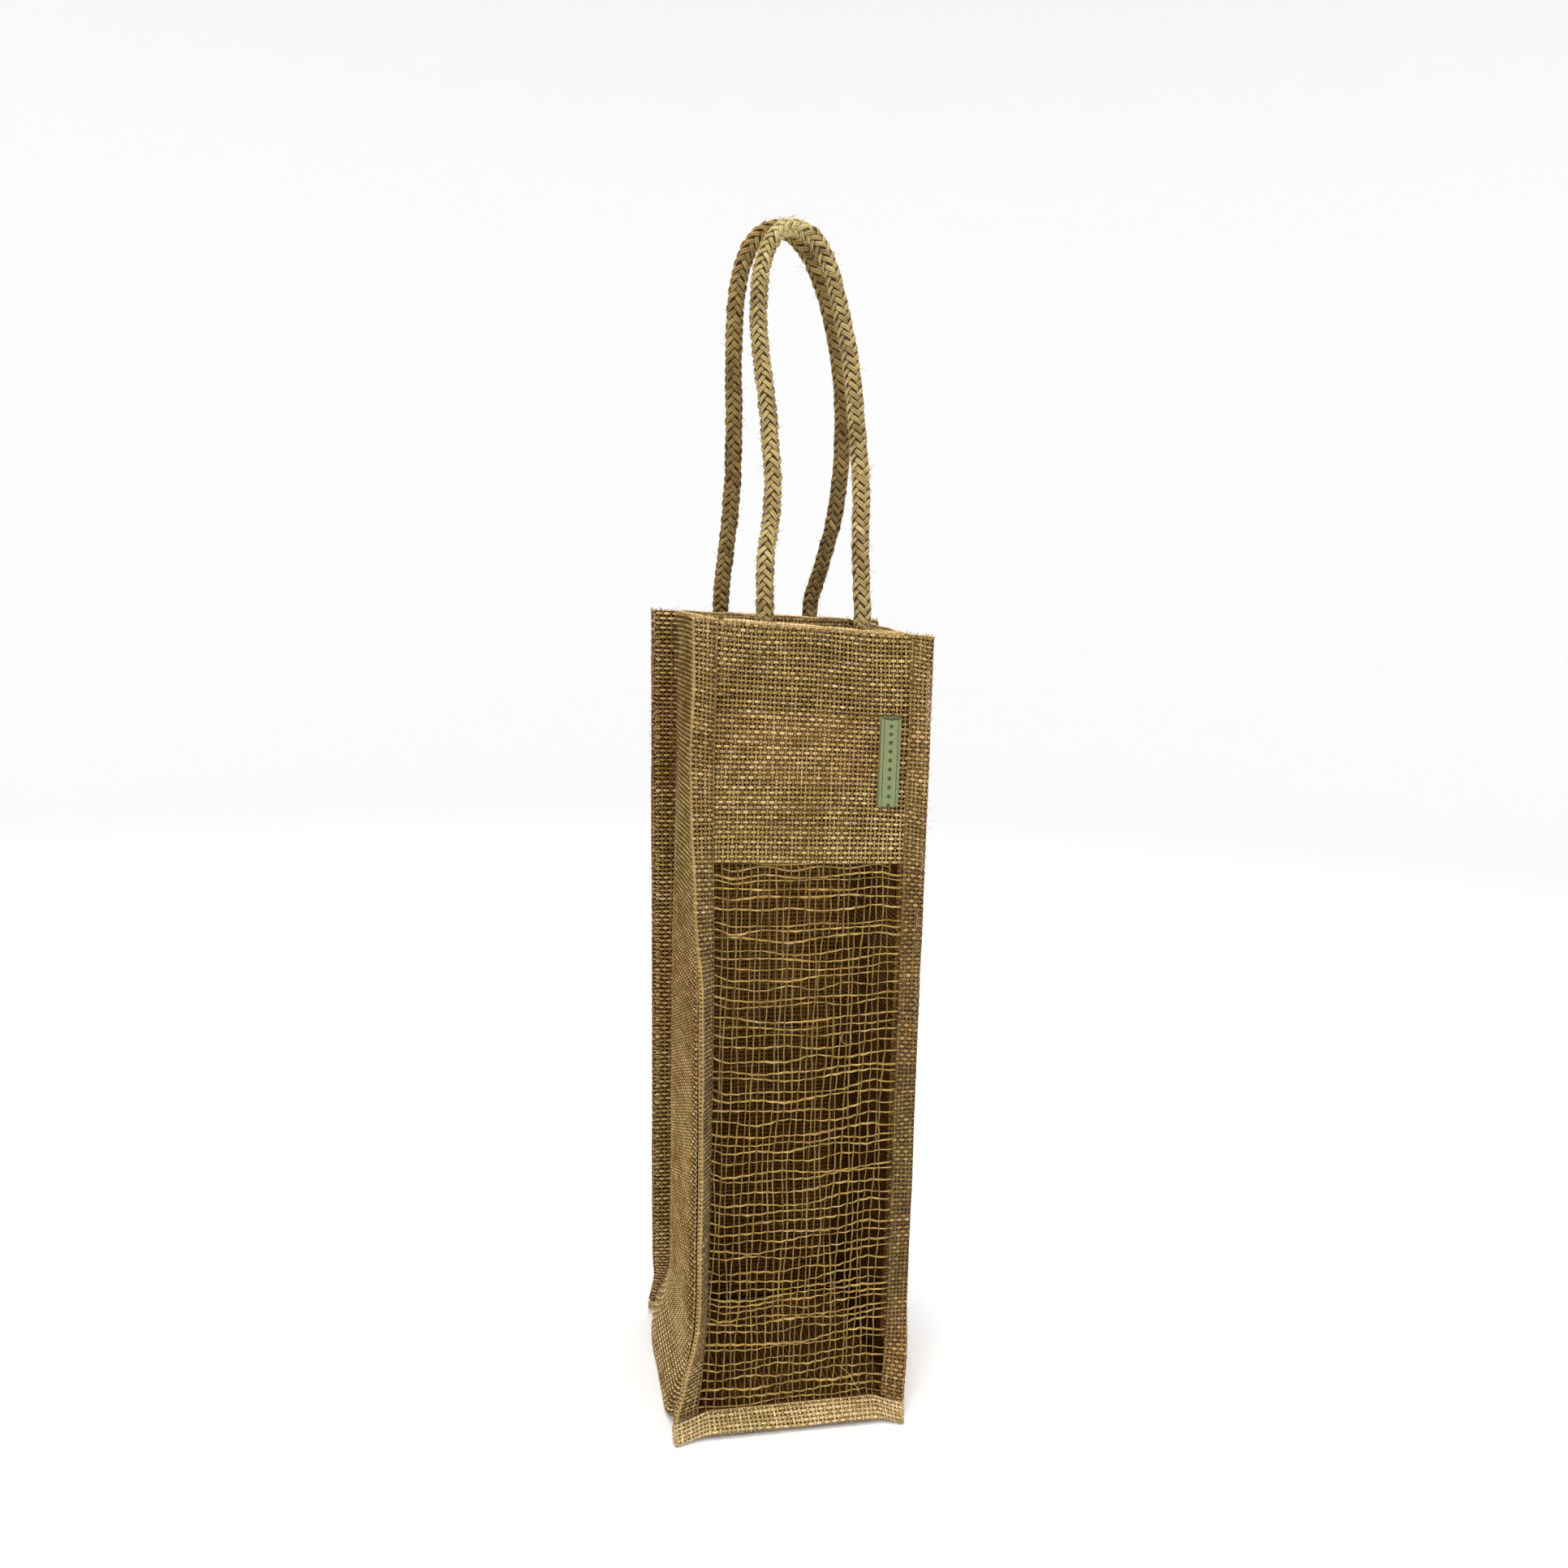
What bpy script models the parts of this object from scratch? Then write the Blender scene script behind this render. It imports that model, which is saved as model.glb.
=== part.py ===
"""Jute bottle gift bag with an open net window, bound seam fins and two rope handles.

The bag stands on z = 0 with its front towards -Y. The front and back panels are joined by one
gusset strip that runs down the left side, under the base and up the right side. Panel, binding and
strip lie on each other in a fin all round each panel. All lengths are in metres.
"""

import math

import bmesh
import bpy
from mathutils import Vector

# Signs along Y and X
FRONT = -1
BACK = 1
LEFT = -1
RIGHT = 1
FACE_NAMES = {FRONT: "front", BACK: "back"}
SIDE_NAMES = {LEFT: "left", RIGHT: "right"}

# The sewn box, measured at the seam lines
BAG_HEIGHT = 0.360
SEAM_WIDTH = 0.080
SEAM_DEPTH = 0.092
SEAM_LIFT = 0.0094          # the seams under the base hang this far above the floor
SEAM_CORNER_RADIUS = 0.003
FIN_WIDTH = 0.013
SEAM_BEND_LENGTH = 0.004    # the cloth turns into the fin over this length

# Cloth thicknesses and the space between touching layers
CLOTH_THICKNESS = 0.0009
BINDING_THICKNESS = 0.0007
NET_THICKNESS = 0.0009
RIBBON_THICKNESS = 0.0004
LAYER_GAP = 0.0003
FLANGE_GAP = 0.0005         # between the binding's back leaf and the strip behind it

# Layers of a fin, counted forward from the binding's back leaf
PANEL_LAYER = BINDING_THICKNESS / 2 + LAYER_GAP + CLOTH_THICKNESS / 2
FRONT_LEAF_LAYER = 2 * PANEL_LAYER
STRIP_LAYER = -(BINDING_THICKNESS / 2 + FLANGE_GAP + CLOTH_THICKNESS / 2)
PANEL_EDGE = FIN_WIDTH - FRONT_LEAF_LAYER   # the panel ends here, inside its folded binding

# Front panel: solid cloth above, net window below
UPPER_CLOTH_HEIGHT = 0.102
WINDOW_TOP = BAG_HEIGHT - UPPER_CLOTH_HEIGHT
NET_TONGUE = 0.010          # the net goes on this far behind the solid cloth
NET_TONGUE_INSET = 0.003
NET_MARGIN = (SEAM_BEND_LENGTH / 2 + PANEL_EDGE) / 2   # net caught in the fins
NET_BAR = 0.0016
NET_COLUMNS = 9
NET_ROWS = 20
NET_STEP = 0.0018           # the net steps back behind the solid cloth over this height
HEM_DEPTH = 0.038
RAW_EDGE_INSET = 0.0022     # the strip's raw edge stops short of the folded binding
CORNER_NOTCH_SHARE = 0.55   # share of the strip's flange that is cut back round a lower corner
LEAF_START = SEAM_BEND_LENGTH / 2     # the binding starts where the fin is straight

# How far each side fin turns forward, and where along its height
FIN_TURNS = {
    "front_left": math.radians(66),
    "front_right": math.radians(-9),
    "back_left": math.radians(5),
    "back_right": math.radians(-6),
}
BOTTOM_FIN_TURN = math.radians(54)
LEAST_TURN = math.radians(0.05)   # below this turn a fin counts as straight
TWIST_SHARES = ((0.0, 0.62), (0.06, 0.66), (0.10, 0.84), (0.16, 1.0), (0.26, 0.98), (0.37, 0.93),
                (0.50, 0.84), (0.58, 0.77), (0.67, 0.50), (0.80, 0.20), (1.0, 0.06))

# The gusset strip between its seams
SIDE_BULGE = 0.004
FLARE_TOP = 0.042           # below this height the strip flares out to its fold on the floor
FLARE_LEFT = 0.0085
FLARE_RIGHT = 0.009
FOLD_RADIUS = 0.0022        # the fold between the side and the base
WEB_EDGE_SHARE = 0.22       # share of the depth over which the strip reaches its full bulge
WEB_STEP_SHARES = (0.25, 0.6, 1.0)    # where that stretch has its points

# How the standing bag leans away from a true box, at the rim and at the base
RIM_SHIFTS = {
    "front_left": (0.0012, 0.0),
    "front_right": (0.0, -0.0044),
    "back_left": (-0.0030, 0.0),
    "back_right": (0.0014, -0.0020),
}
BASE_SHIFTS = {"front_left": 0.0008, "front_right": 0.0022, "back_left": 0.0026, "back_right": 0.0}
EAR_SPREAD = 0.005          # the lower left corners are pulled out sideways
EAR_START = 0.032           # from this far off the middle
EAR_REACH = 0.020           # over this width
EAR_TOP = 0.026             # and below this height

# Rope handles
ROPE_DIAMETER = 0.008
HANDLE_RISE = 0.166         # of a rope's middle line above the rim
HANDLE_TOP_OFFSET = 0.0043  # each rope's middle stays this far from the bag's middle at the top
TAIL_LENGTH = 0.035
ROOT_GAP = 0.0003
ROOT_STRAIGHT = 0.003       # a loop leaves the hem straight up over this length
LOOP_RINGS = 44
FRONT_ROUTE = (             # across, and above the rim, from the left leg to the right one
    (-0.0200, 0.0003), (-0.0202, 0.0080), (-0.0194, 0.0280), (-0.0170, 0.0400), (-0.0156, 0.0550),
    (-0.0163, 0.0720), (-0.0174, 0.0890), (-0.0192, 0.1060), (-0.0206, 0.1230), (-0.0210, 0.1370),
    (-0.0195, 0.1490), (-0.0160, 0.1585), (-0.0112, 0.1640), (-0.0058, 0.1660), (-0.0006, 0.1650),
    (0.0046, 0.1620), (0.0088, 0.1570), (0.0124, 0.1500), (0.0150, 0.1410), (0.0170, 0.1290),
    (0.0187, 0.1150), (0.0202, 0.1010), (0.0214, 0.0840), (0.0224, 0.0670), (0.0228, 0.0530),
    (0.0220, 0.0390), (0.0214, 0.0260), (0.0218, 0.0090), (0.0220, 0.0003),
)
BACK_ROUTE = (
    (-0.0241, 0.0003), (-0.0243, 0.0090), (-0.0244, 0.0230), (-0.0240, 0.0390), (-0.0236, 0.0580),
    (-0.0239, 0.0790), (-0.0250, 0.1000), (-0.0260, 0.1200), (-0.0261, 0.1340), (-0.0253, 0.1450),
    (-0.0234, 0.1540), (-0.0202, 0.1605), (-0.0156, 0.1650), (-0.0105, 0.1668), (-0.0050, 0.1656),
    (0.0006, 0.1615), (0.0060, 0.1545), (0.0110, 0.1445), (0.0158, 0.1320), (0.0205, 0.1165),
    (0.0244, 0.0995), (0.0269, 0.0820), (0.0278, 0.0640), (0.0270, 0.0460), (0.0246, 0.0300),
    (0.0216, 0.0160), (0.0196, 0.0080), (0.0193, 0.0003),
)
HANDLES = (("front", FRONT, FRONT_ROUTE), ("back", BACK, BACK_ROUTE))

# Room for a rope between the panel and its hem facing
ROPE_OFFSET = PANEL_LAYER - CLOTH_THICKNESS / 2 - LAYER_GAP - ROPE_DIAMETER / 2
FACING_LAYER = PANEL_LAYER - CLOTH_THICKNESS - LAYER_GAP
FACING_INSET = 0.001
POCKET_DEPTH = ROPE_DIAMETER + 1.5 * LAYER_GAP
POCKET_HALF_WIDTH = 0.013

# Ribbon tab sewn into the front right seam
TAB_LENGTH = 0.039
TAB_WIDTH = 0.0093
TAB_DROP = 0.039            # from the rim to the top of the tab
TAB_ROOT_INSET = 0.0007     # from the seam line to the root of the tab
TAB_HINGE_INSET = 0.0004
TAB_OPENING = 0.0014        # between the middles of its two layers
TAB_ROOT_OPENING = 0.0007
TAB_OPENING_SHARE = 0.6     # share of the opening that is reached halfway along the tab

JUTE = (0.42, 0.29, 0.15, 1.0)
JUTE_LIGHT = (0.50, 0.37, 0.20, 1.0)
JUTE_NET = (0.47, 0.33, 0.16, 1.0)
ROPE = (0.50, 0.40, 0.20, 1.0)
RIBBON = (0.36, 0.40, 0.24, 1.0)


def clear_scene():
    """Removes the start-up objects, so that only the bag is built."""
    for old in list(bpy.data.objects):
        bpy.data.objects.remove(old, do_unlink=True)


def make_collection(name):
    """Makes the collection that holds the bag's pieces."""
    collection = bpy.data.collections.new(name)
    bpy.context.scene.collection.children.link(collection)
    return collection


def make_material(name, color, roughness):
    """Makes a plain Principled material for one piece."""
    material = bpy.data.materials.new(name)
    material.use_nodes = True
    shader = material.node_tree.nodes["Principled BSDF"]
    shader.inputs["Base Color"].default_value = color
    shader.inputs["Roughness"].default_value = roughness
    shader.inputs["Metallic"].default_value = 0.0
    material.diffuse_color = color
    return material


def smooth(share):
    """Eases a share from 0 to 1."""
    share = min(max(share, 0.0), 1.0)
    return share * share * (3.0 - 2.0 * share)


def mix(start, end, share):
    """Goes from start to end by a share."""
    return start + (end - start) * share


def read_shares(table, share):
    """Reads a table of pairs of shares on a smooth curve."""
    last = len(table) - 1
    spot = 0
    while spot < last - 1 and share > table[spot + 1][0]:
        spot += 1
    before = table[max(spot - 1, 0)][1]
    first = table[spot][1]
    second = table[spot + 1][1]
    after = table[min(spot + 2, last)][1]
    t = (share - table[spot][0]) / (table[spot + 1][0] - table[spot][0])
    t = min(max(t, 0.0), 1.0)
    pull = (second - before) / 2
    push = (after - first) / 2
    rise = 3 * (second - first) - 2 * pull - push
    return first + t * (pull + t * (rise + t * (2 * (first - second) + pull + push)))


def spaced(start, end, count):
    """Lists count + 1 evenly spaced values."""
    return [mix(start, end, step / count) for step in range(count + 1)]


def stand(point):
    """Moves a point of the true box to where the standing bag has it."""
    height = min(point.z / BAG_HEIGHT, 1.0)
    across = point.x / SEAM_WIDTH + 0.5
    depth = point.y / SEAM_DEPTH + 0.5

    def spread(values):
        front = mix(values["front_left"], values["front_right"], across)
        back = mix(values["back_left"], values["back_right"], across)
        return mix(front, back, depth)

    rim_across = spread({key: shift[0] for key, shift in RIM_SHIFTS.items()})
    rim_up = spread({key: shift[1] for key, shift in RIM_SHIFTS.items()})
    base_across = spread(BASE_SHIFTS)
    moved_x = mix(base_across, rim_across, height)
    pulled_out = smooth((-point.x - EAR_START) / EAR_REACH) * smooth(1.0 - point.z / EAR_TOP)
    moved_x -= EAR_SPREAD * pulled_out
    return Vector((point.x + moved_x, point.y, point.z + rim_up * height ** 3))


def side_turn(face, side, z):
    """Gives the forward turn of a side fin at a height."""
    key = FACE_NAMES[face] + "_" + SIDE_NAMES[side]
    peak = FIN_TURNS[key]
    share = read_shares(TWIST_SHARES, z / BAG_HEIGHT)
    to_bottom = smooth(1.0 - (z - SEAM_LIFT) / FLARE_TOP)
    return mix(peak * share, BOTTOM_FIN_TURN * TWIST_SHARES[0][1], to_bottom)


def seam_at(x, z):
    """Finds the seam nearest to a flat panel point, its outward direction and the distance."""
    side = LEFT if x < 0 else RIGHT
    core_x = SEAM_WIDTH / 2 - SEAM_CORNER_RADIUS
    core_z = SEAM_LIFT + SEAM_CORNER_RADIUS
    out = abs(x) - core_x
    down = core_z - z
    if out > 0 and down > 0:
        reach = math.hypot(out, down)
        direction = (side * out / reach, -down / reach)
        around = math.atan2(down, out) / (math.pi / 2)
    elif out > 0 or out >= down:
        reach = out
        direction = (side, 0.0)
        around = 0.0
    else:
        reach = down
        direction = (0.0, -1.0)
        around = 1.0
    distance = reach - SEAM_CORNER_RADIUS
    seam = (x - direction[0] * distance, z - direction[1] * distance)
    return side, seam, direction, distance, around


def fin_turn(face, side, z, around):
    """Gives the fin's forward turn, also where it goes round the lower corner."""
    upright = side_turn(face, side, max(z, SEAM_LIFT + SEAM_CORNER_RADIUS))
    return mix(upright, BOTTOM_FIN_TURN, smooth(around))


def bend(turn, distance):
    """Follows the fin's middle line: outward and forward places, and the angle there."""
    half = SEAM_BEND_LENGTH / 2
    part = min(max((distance + half) / SEAM_BEND_LENGTH, 0.0), 1.0)
    angle = turn * part
    if abs(turn) < LEAST_TURN:
        outward = -half + SEAM_BEND_LENGTH * part
        forward = 0.0
    else:
        radius = SEAM_BEND_LENGTH / turn
        outward = -half + radius * math.sin(angle)
        forward = radius * (1 - math.cos(angle))
    before = min(distance + half, 0.0)
    beyond = max(distance - half, 0.0)
    outward += beyond * math.cos(turn) + before
    forward += beyond * math.sin(turn)
    return outward, forward, angle


def cloth_point(face, x, z, layer):
    """Takes a flat panel point on a layer of the fin to its place on the standing bag."""
    side, seam, direction, distance, around = seam_at(x, z)
    turn = fin_turn(face, side, seam[1], around)
    outward, forward, angle = bend(turn, distance)
    outward -= layer * math.sin(angle)
    forward += layer * math.cos(angle)
    place = Vector((seam[0] + direction[0] * outward,
                    face * (SEAM_DEPTH / 2 + forward),
                    seam[1] + direction[1] * outward))
    return stand(place)


def split_cells(cloth):
    """Splits each four-sided cell the same way, so that layers that twist together stay apart.

    The cut runs upwards and outwards together, whichever way the grid itself runs.
    """
    for face in list(cloth.faces):
        corners = list(face.verts)
        if len(corners) != 4:
            continue
        rises = []
        for start, end in ((corners[0], corners[2]), (corners[1], corners[3])):
            outward = abs(end.co.x) + abs(end.co.y) - abs(start.co.x) - abs(start.co.y)
            rises.append((end.co.z - start.co.z) * outward)
        first, second = (0, 2) if rises[0] >= rises[1] else (1, 3)
        bmesh.utils.face_split(face, corners[first], corners[second])


def sheet(name, across, along, place, thickness, material, is_hole=None):
    """Makes one cloth piece: a grid whose points are placed one by one, then given its thickness."""
    mesh = bpy.data.meshes.new(name)
    cloth = bmesh.new()
    bmesh.ops.create_grid(cloth, x_segments=across, y_segments=along, size=1.0)
    cells = {}
    for face in cloth.faces:
        middle = face.calc_center_median()
        cells[face] = (int((middle.x + 1.0) / 2 * across), int((middle.y + 1.0) / 2 * along))
    if is_hole:
        holes = [face for face, cell in cells.items() if is_hole(*cell)]
        bmesh.ops.delete(cloth, geom=holes, context="FACES")
    for vertex in cloth.verts:
        column = round((vertex.co.x + 1.0) / 2 * across)
        row = round((vertex.co.y + 1.0) / 2 * along)
        vertex.co = place(column, row)
    split_cells(cloth)
    cloth.to_mesh(mesh)
    cloth.free()
    piece = bpy.data.objects.new(name, mesh)
    parts.objects.link(piece)
    mesh.materials.append(material)
    wall = piece.modifiers.new("thickness", "SOLIDIFY")
    wall.thickness = thickness
    wall.offset = 0.0
    wall.use_even_offset = True
    return piece


def fin_places():
    """Distances from the seam at which every layer of a fin has its points."""
    return [0.0, SEAM_BEND_LENGTH / 2, NET_MARGIN, PANEL_EDGE]


def side_heights(step=1):
    """Heights that all the cloths share from the lower corners up, or every second one."""
    low = spaced(SEAM_LIFT + SEAM_CORNER_RADIUS, FLARE_TOP, 6)
    middle = spaced(FLARE_TOP, WINDOW_TOP, 14)[1:][step - 1::step]
    high = spaced(WINDOW_TOP, BAG_HEIGHT, 6)[1:][step - 1::step]
    return low + middle + high


def panel_columns(inner_count, beyond=()):
    """Lists places across a panel, with points of its own where it bends into the fins."""
    half_width = SEAM_WIDTH / 2
    inner_edge = half_width - SEAM_BEND_LENGTH / 2
    fin = [half_width + distance for distance in fin_places() + list(beyond)]
    return [-x for x in reversed(fin)] + spaced(-inner_edge, inner_edge, inner_count) + fin


def make_front_upper_panel(material):
    """The solid cloth above the window, with its edges in the side fins."""
    columns = panel_columns(4)
    rows = [z for z in side_heights() if z >= WINDOW_TOP]

    def place(column, row):
        return cloth_point(FRONT, columns[column], rows[row], PANEL_LAYER)

    return sheet("front_upper_panel", len(columns) - 1, len(rows) - 1, place,
                 CLOTH_THICKNESS, material)


def net_lines(start, end, count):
    """Lists both edges of each bar of the net between two bounds."""
    pitch = (end - start - NET_BAR) / count
    lines = []
    for bar in range(count + 1):
        lines += [start + bar * pitch, start + bar * pitch + NET_BAR]
    return lines


def make_front_window_net(material):
    """The open net window: bars with gaps, caught in the fins and behind the solid cloth."""
    half_width = SEAM_WIDTH / 2
    half_bend = SEAM_BEND_LENGTH / 2
    inner = net_lines(-half_width + half_bend, half_width - half_bend, NET_COLUMNS)
    margin = fin_places()[:3]
    left = [-half_width - distance for distance in reversed(margin)]
    columns = left + inner + [half_width + distance for distance in margin]
    window_top = WINDOW_TOP - 2 * LAYER_GAP - NET_STEP
    up = net_lines(SEAM_LIFT + half_bend, window_top, NET_ROWS)
    tongue = [WINDOW_TOP - 2 * LAYER_GAP, WINDOW_TOP + NET_TONGUE]
    rows = [SEAM_LIFT - distance for distance in reversed(margin)] + up + tongue
    first_hole = len(margin) + 1
    last_column = len(columns) - 2
    tongue_row = len(rows) - 2
    tongue_layer = PANEL_LAYER - CLOTH_THICKNESS / 2 - LAYER_GAP - NET_THICKNESS / 2

    def place(column, row):
        x = columns[column]
        layer = PANEL_LAYER
        if row >= tongue_row:
            reach = half_width - NET_TONGUE_INSET
            x = max(-reach, min(reach, x))
            layer = tongue_layer
        return cloth_point(FRONT, x, rows[row], layer)

    def is_hole(column, row):
        in_side_margin = column < 2 or column >= last_column - 1
        if row < 2 or row >= tongue_row - 1:
            return in_side_margin
        is_gap_column = first_hole <= column < last_column - 2 and column % 2 == 0
        is_gap_row = first_hole <= row < tongue_row - 1 and row % 2 == 0
        return is_gap_column and is_gap_row

    return sheet("front_window_net", len(columns) - 1, len(rows) - 1, place,
                 NET_THICKNESS, material, is_hole)


def make_back_panel(material):
    """The back panel, one cloth from the rim to the bottom fin."""
    columns = panel_columns(4)
    rows = [SEAM_LIFT - distance for distance in reversed(fin_places())]
    rows += side_heights(step=2)

    def place(column, row):
        return cloth_point(BACK, columns[column], rows[row], PANEL_LAYER)

    return sheet("back_panel", len(columns) - 1, len(rows) - 1, place, CLOTH_THICKNESS, material)


def binding_profile():
    """The folded binding in the fin's section: pairs of distance from the seam and layer."""
    radius = FRONT_LEAF_LAYER / 2
    fold_middle = FIN_WIDTH - radius - BINDING_THICKNESS / 2
    leaf = [LEAF_START, NET_MARGIN]
    points = [(distance, FRONT_LEAF_LAYER) for distance in leaf]
    for step in range(4):
        angle = math.pi / 2 - math.pi * step / 3
        points.append((fold_middle + radius * math.cos(angle), radius + radius * math.sin(angle)))
    return points + [(distance, 0.0) for distance in reversed(leaf)]


def make_side_binding(face, side, material):
    """The binding folded round a side fin, from the rim down to the bottom binding."""
    low = SEAM_LIFT - LEAF_START + LAYER_GAP
    rows = [low, SEAM_LIFT] + side_heights(step=1 if face == FRONT else 2)
    section = binding_profile()

    def place(column, row):
        distance, layer = section[column]
        return cloth_point(face, side * (SEAM_WIDTH / 2 + distance), rows[row], layer)

    name = FACE_NAMES[face] + "_" + SIDE_NAMES[side] + "_binding"
    return sheet(name, len(section) - 1, len(rows) - 1, place, BINDING_THICKNESS, material)


def make_bottom_binding(face, material):
    """The binding folded round a bottom fin, which runs on to both lower corners."""
    columns = panel_columns(4, beyond=[FIN_WIDTH])
    section = binding_profile()

    def place(column, row):
        distance, layer = section[row]
        return cloth_point(face, columns[column], SEAM_LIFT - distance, layer)

    return sheet(FACE_NAMES[face] + "_bottom_binding", len(columns) - 1, len(section) - 1, place,
                 BINDING_THICKNESS, material)


def web_profile(side, z):
    """How far the strip's middle stands outside its seams, and how much lower it lies."""
    flare = FLARE_LEFT if side == LEFT else FLARE_RIGHT
    low = smooth(1.0 - (z - SEAM_LIFT) / (FLARE_TOP - SEAM_LIFT))
    body = SIDE_BULGE * smooth(2.0 * (1.0 - z / BAG_HEIGHT))
    return mix(body, flare, low), low * (SEAM_LIFT - FOLD_RADIUS)


def strip_stations():
    """Lists the strip's places from the left rim, under the base, to the right rim.

    Each station holds the side, the seam point, its outward direction, how far round the corner it
    is, and the strip's middle line.
    """
    half_width = SEAM_WIDTH / 2
    core_x = half_width - SEAM_CORNER_RADIUS
    core_z = SEAM_LIFT + SEAM_CORNER_RADIUS
    heights = side_heights()[::-1]
    upright = []
    for side in (LEFT, RIGHT):
        run = []
        for z in heights:
            out, drop = web_profile(side, z)
            run.append((side, (side * half_width, z), (side, 0.0), 0.0,
                        (side * (half_width - STRIP_LAYER + out), z - drop)))
        flare = FLARE_LEFT if side == LEFT else FLARE_RIGHT
        fold_x = half_width - STRIP_LAYER + flare - FOLD_RADIUS
        fold_z = FOLD_RADIUS + CLOTH_THICKNESS / 2
        for step in range(1, 4):
            angle = math.pi / 2 * step / 3
            direction = (side * math.cos(angle), -math.sin(angle))
            seam = (side * core_x + direction[0] * SEAM_CORNER_RADIUS,
                    core_z + direction[1] * SEAM_CORNER_RADIUS)
            middle = (side * fold_x + direction[0] * FOLD_RADIUS,
                      fold_z + direction[1] * FOLD_RADIUS)
            run.append((side, seam, direction, step / 3, middle))
        upright.append(run)
    left_run, right_run = upright
    base = []
    left_fold = left_run[-1][4][0]
    right_fold = right_run[-1][4][0]
    for step in range(1, 7):
        share = step / 7
        x = mix(-core_x, core_x, share)
        base.append((LEFT if x < 0 else RIGHT, (x, SEAM_LIFT), (0.0, -1.0), 1.0,
                     (mix(left_fold, right_fold, share), CLOTH_THICKNESS / 2)))
    return left_run + base + right_run[::-1]


def strip_section(station):
    """One section across the strip: front flange, web with its bulge, back flange."""
    side, seam, direction, around, middle = station
    offset = -STRIP_LAYER
    flanges = {}
    for face in (FRONT, BACK):
        turn = fin_turn(face, side, seam[1], around)
        start_out, start_forward, _ = bend(turn, SEAM_BEND_LENGTH / 2)
        to_web = (offset * (1 - math.sin(turn)) - start_out) / math.cos(turn)
        notch = CORNER_NOTCH_SHARE * math.sin(math.pi * around)
        to_edge = (FIN_WIDTH - RAW_EDGE_INSET) * (1.0 - notch) - SEAM_BEND_LENGTH / 2
        points = []
        for reach in (to_edge, mix(to_web, to_edge, 0.5), to_web):
            outward = start_out + reach * math.cos(turn) + offset * math.sin(turn)
            forward = start_forward + reach * math.sin(turn) - offset * math.cos(turn)
            points.append((outward, face * (SEAM_DEPTH / 2 + forward)))
        flanges[face] = points
    web_start = flanges[FRONT][-1][1]
    web_end = flanges[BACK][-1][1]
    section = []
    for outward, y in flanges[FRONT]:
        section.append(Vector((seam[0] + direction[0] * outward, y,
                               seam[1] + direction[1] * outward)))
    shares = [WEB_EDGE_SHARE * part for part in WEB_STEP_SHARES]
    shares += [1.0 - share for share in reversed(shares)]
    web_seam = (seam[0] + direction[0] * offset, seam[1] + direction[1] * offset)
    for share in shares:
        near_edge = min(share, 1.0 - share) / WEB_EDGE_SHARE
        full = math.sin(math.pi / 2 * near_edge)
        section.append(Vector((mix(web_seam[0], middle[0], full),
                               mix(web_start, web_end, share),
                               mix(web_seam[1], middle[1], full))))
    for outward, y in reversed(flanges[BACK]):
        section.append(Vector((seam[0] + direction[0] * outward, y,
                               seam[1] + direction[1] * outward)))
    return section


def make_gusset_strip(material):
    """The strip that makes both sides and the base, with a flange in every fin."""
    sections = [strip_section(station) for station in strip_stations()]

    def place(column, row):
        return stand(sections[row][column])

    return sheet("gusset_strip", len(sections[0]) - 1, len(sections) - 1, place,
                 CLOTH_THICKNESS, material)


def leg_places(route):
    """The places across the bag where a handle's two legs leave the hem."""
    return route[0][0], route[-1][0]


def make_panel_facing(face, route, material):
    """The hem facing inside a panel, which bulges round the two rope tails."""
    reach = SEAM_WIDTH / 2 - FACING_INSET
    columns = spaced(-reach, reach, 26)
    rows = spaced(BAG_HEIGHT - HEM_DEPTH, BAG_HEIGHT, 2)

    def place(column, row):
        flat = Vector((columns[column], face * (SEAM_DEPTH / 2 + FACING_LAYER), rows[row]))
        point = stand(flat)
        pocket = 0.0
        for leg in leg_places(route):
            near = abs(point.x - leg) / POCKET_HALF_WIDTH
            if near < 1:
                pocket = max(pocket, POCKET_DEPTH * math.cos(near * math.pi / 2) ** 2)
        point.y -= face * pocket
        return point

    return sheet(FACE_NAMES[face] + "_hem_facing", len(columns) - 1, len(rows) - 1, place,
                 CLOTH_THICKNESS, material)


def make_side_facing(side, material):
    """The hem facing inside one side of the gusset strip."""
    reach = SEAM_DEPTH / 2 - FACING_INSET - CLOTH_THICKNESS
    columns = spaced(-reach, reach, 6)
    rows = spaced(BAG_HEIGHT - HEM_DEPTH, BAG_HEIGHT, 2)
    inward = -STRIP_LAYER - CLOTH_THICKNESS - LAYER_GAP

    def place(column, row):
        y = columns[column]
        z = rows[row]
        out, _ = web_profile(side, z)
        near_edge = min((SEAM_DEPTH / 2 - abs(y)) / SEAM_DEPTH / WEB_EDGE_SHARE, 1.0)
        bulge = out * math.sin(math.pi / 2 * near_edge)
        return stand(Vector((side * (SEAM_WIDTH / 2 + inward + bulge), y, z)))

    return sheet(SIDE_NAMES[side] + "_hem_facing", len(columns) - 1, len(rows) - 1, place,
                 CLOTH_THICKNESS, material)


def rope_curve(name, points, origin, material):
    """Makes a round rope along the points, with its object's origin where the rope turns."""
    curve = bpy.data.curves.new(name, "CURVE")
    curve.dimensions = "3D"
    curve.bevel_depth = ROPE_DIAMETER / 2
    curve.bevel_resolution = 3
    curve.use_fill_caps = True
    spline = curve.splines.new("POLY")
    spline.points.add(len(points) - 1)
    for knot, point in zip(spline.points, points):
        knot.co = (*(point - origin), 1.0)
    rope = bpy.data.objects.new(name, curve)
    rope.location = origin
    parts.objects.link(rope)
    curve.materials.append(material)
    return rope


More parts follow.
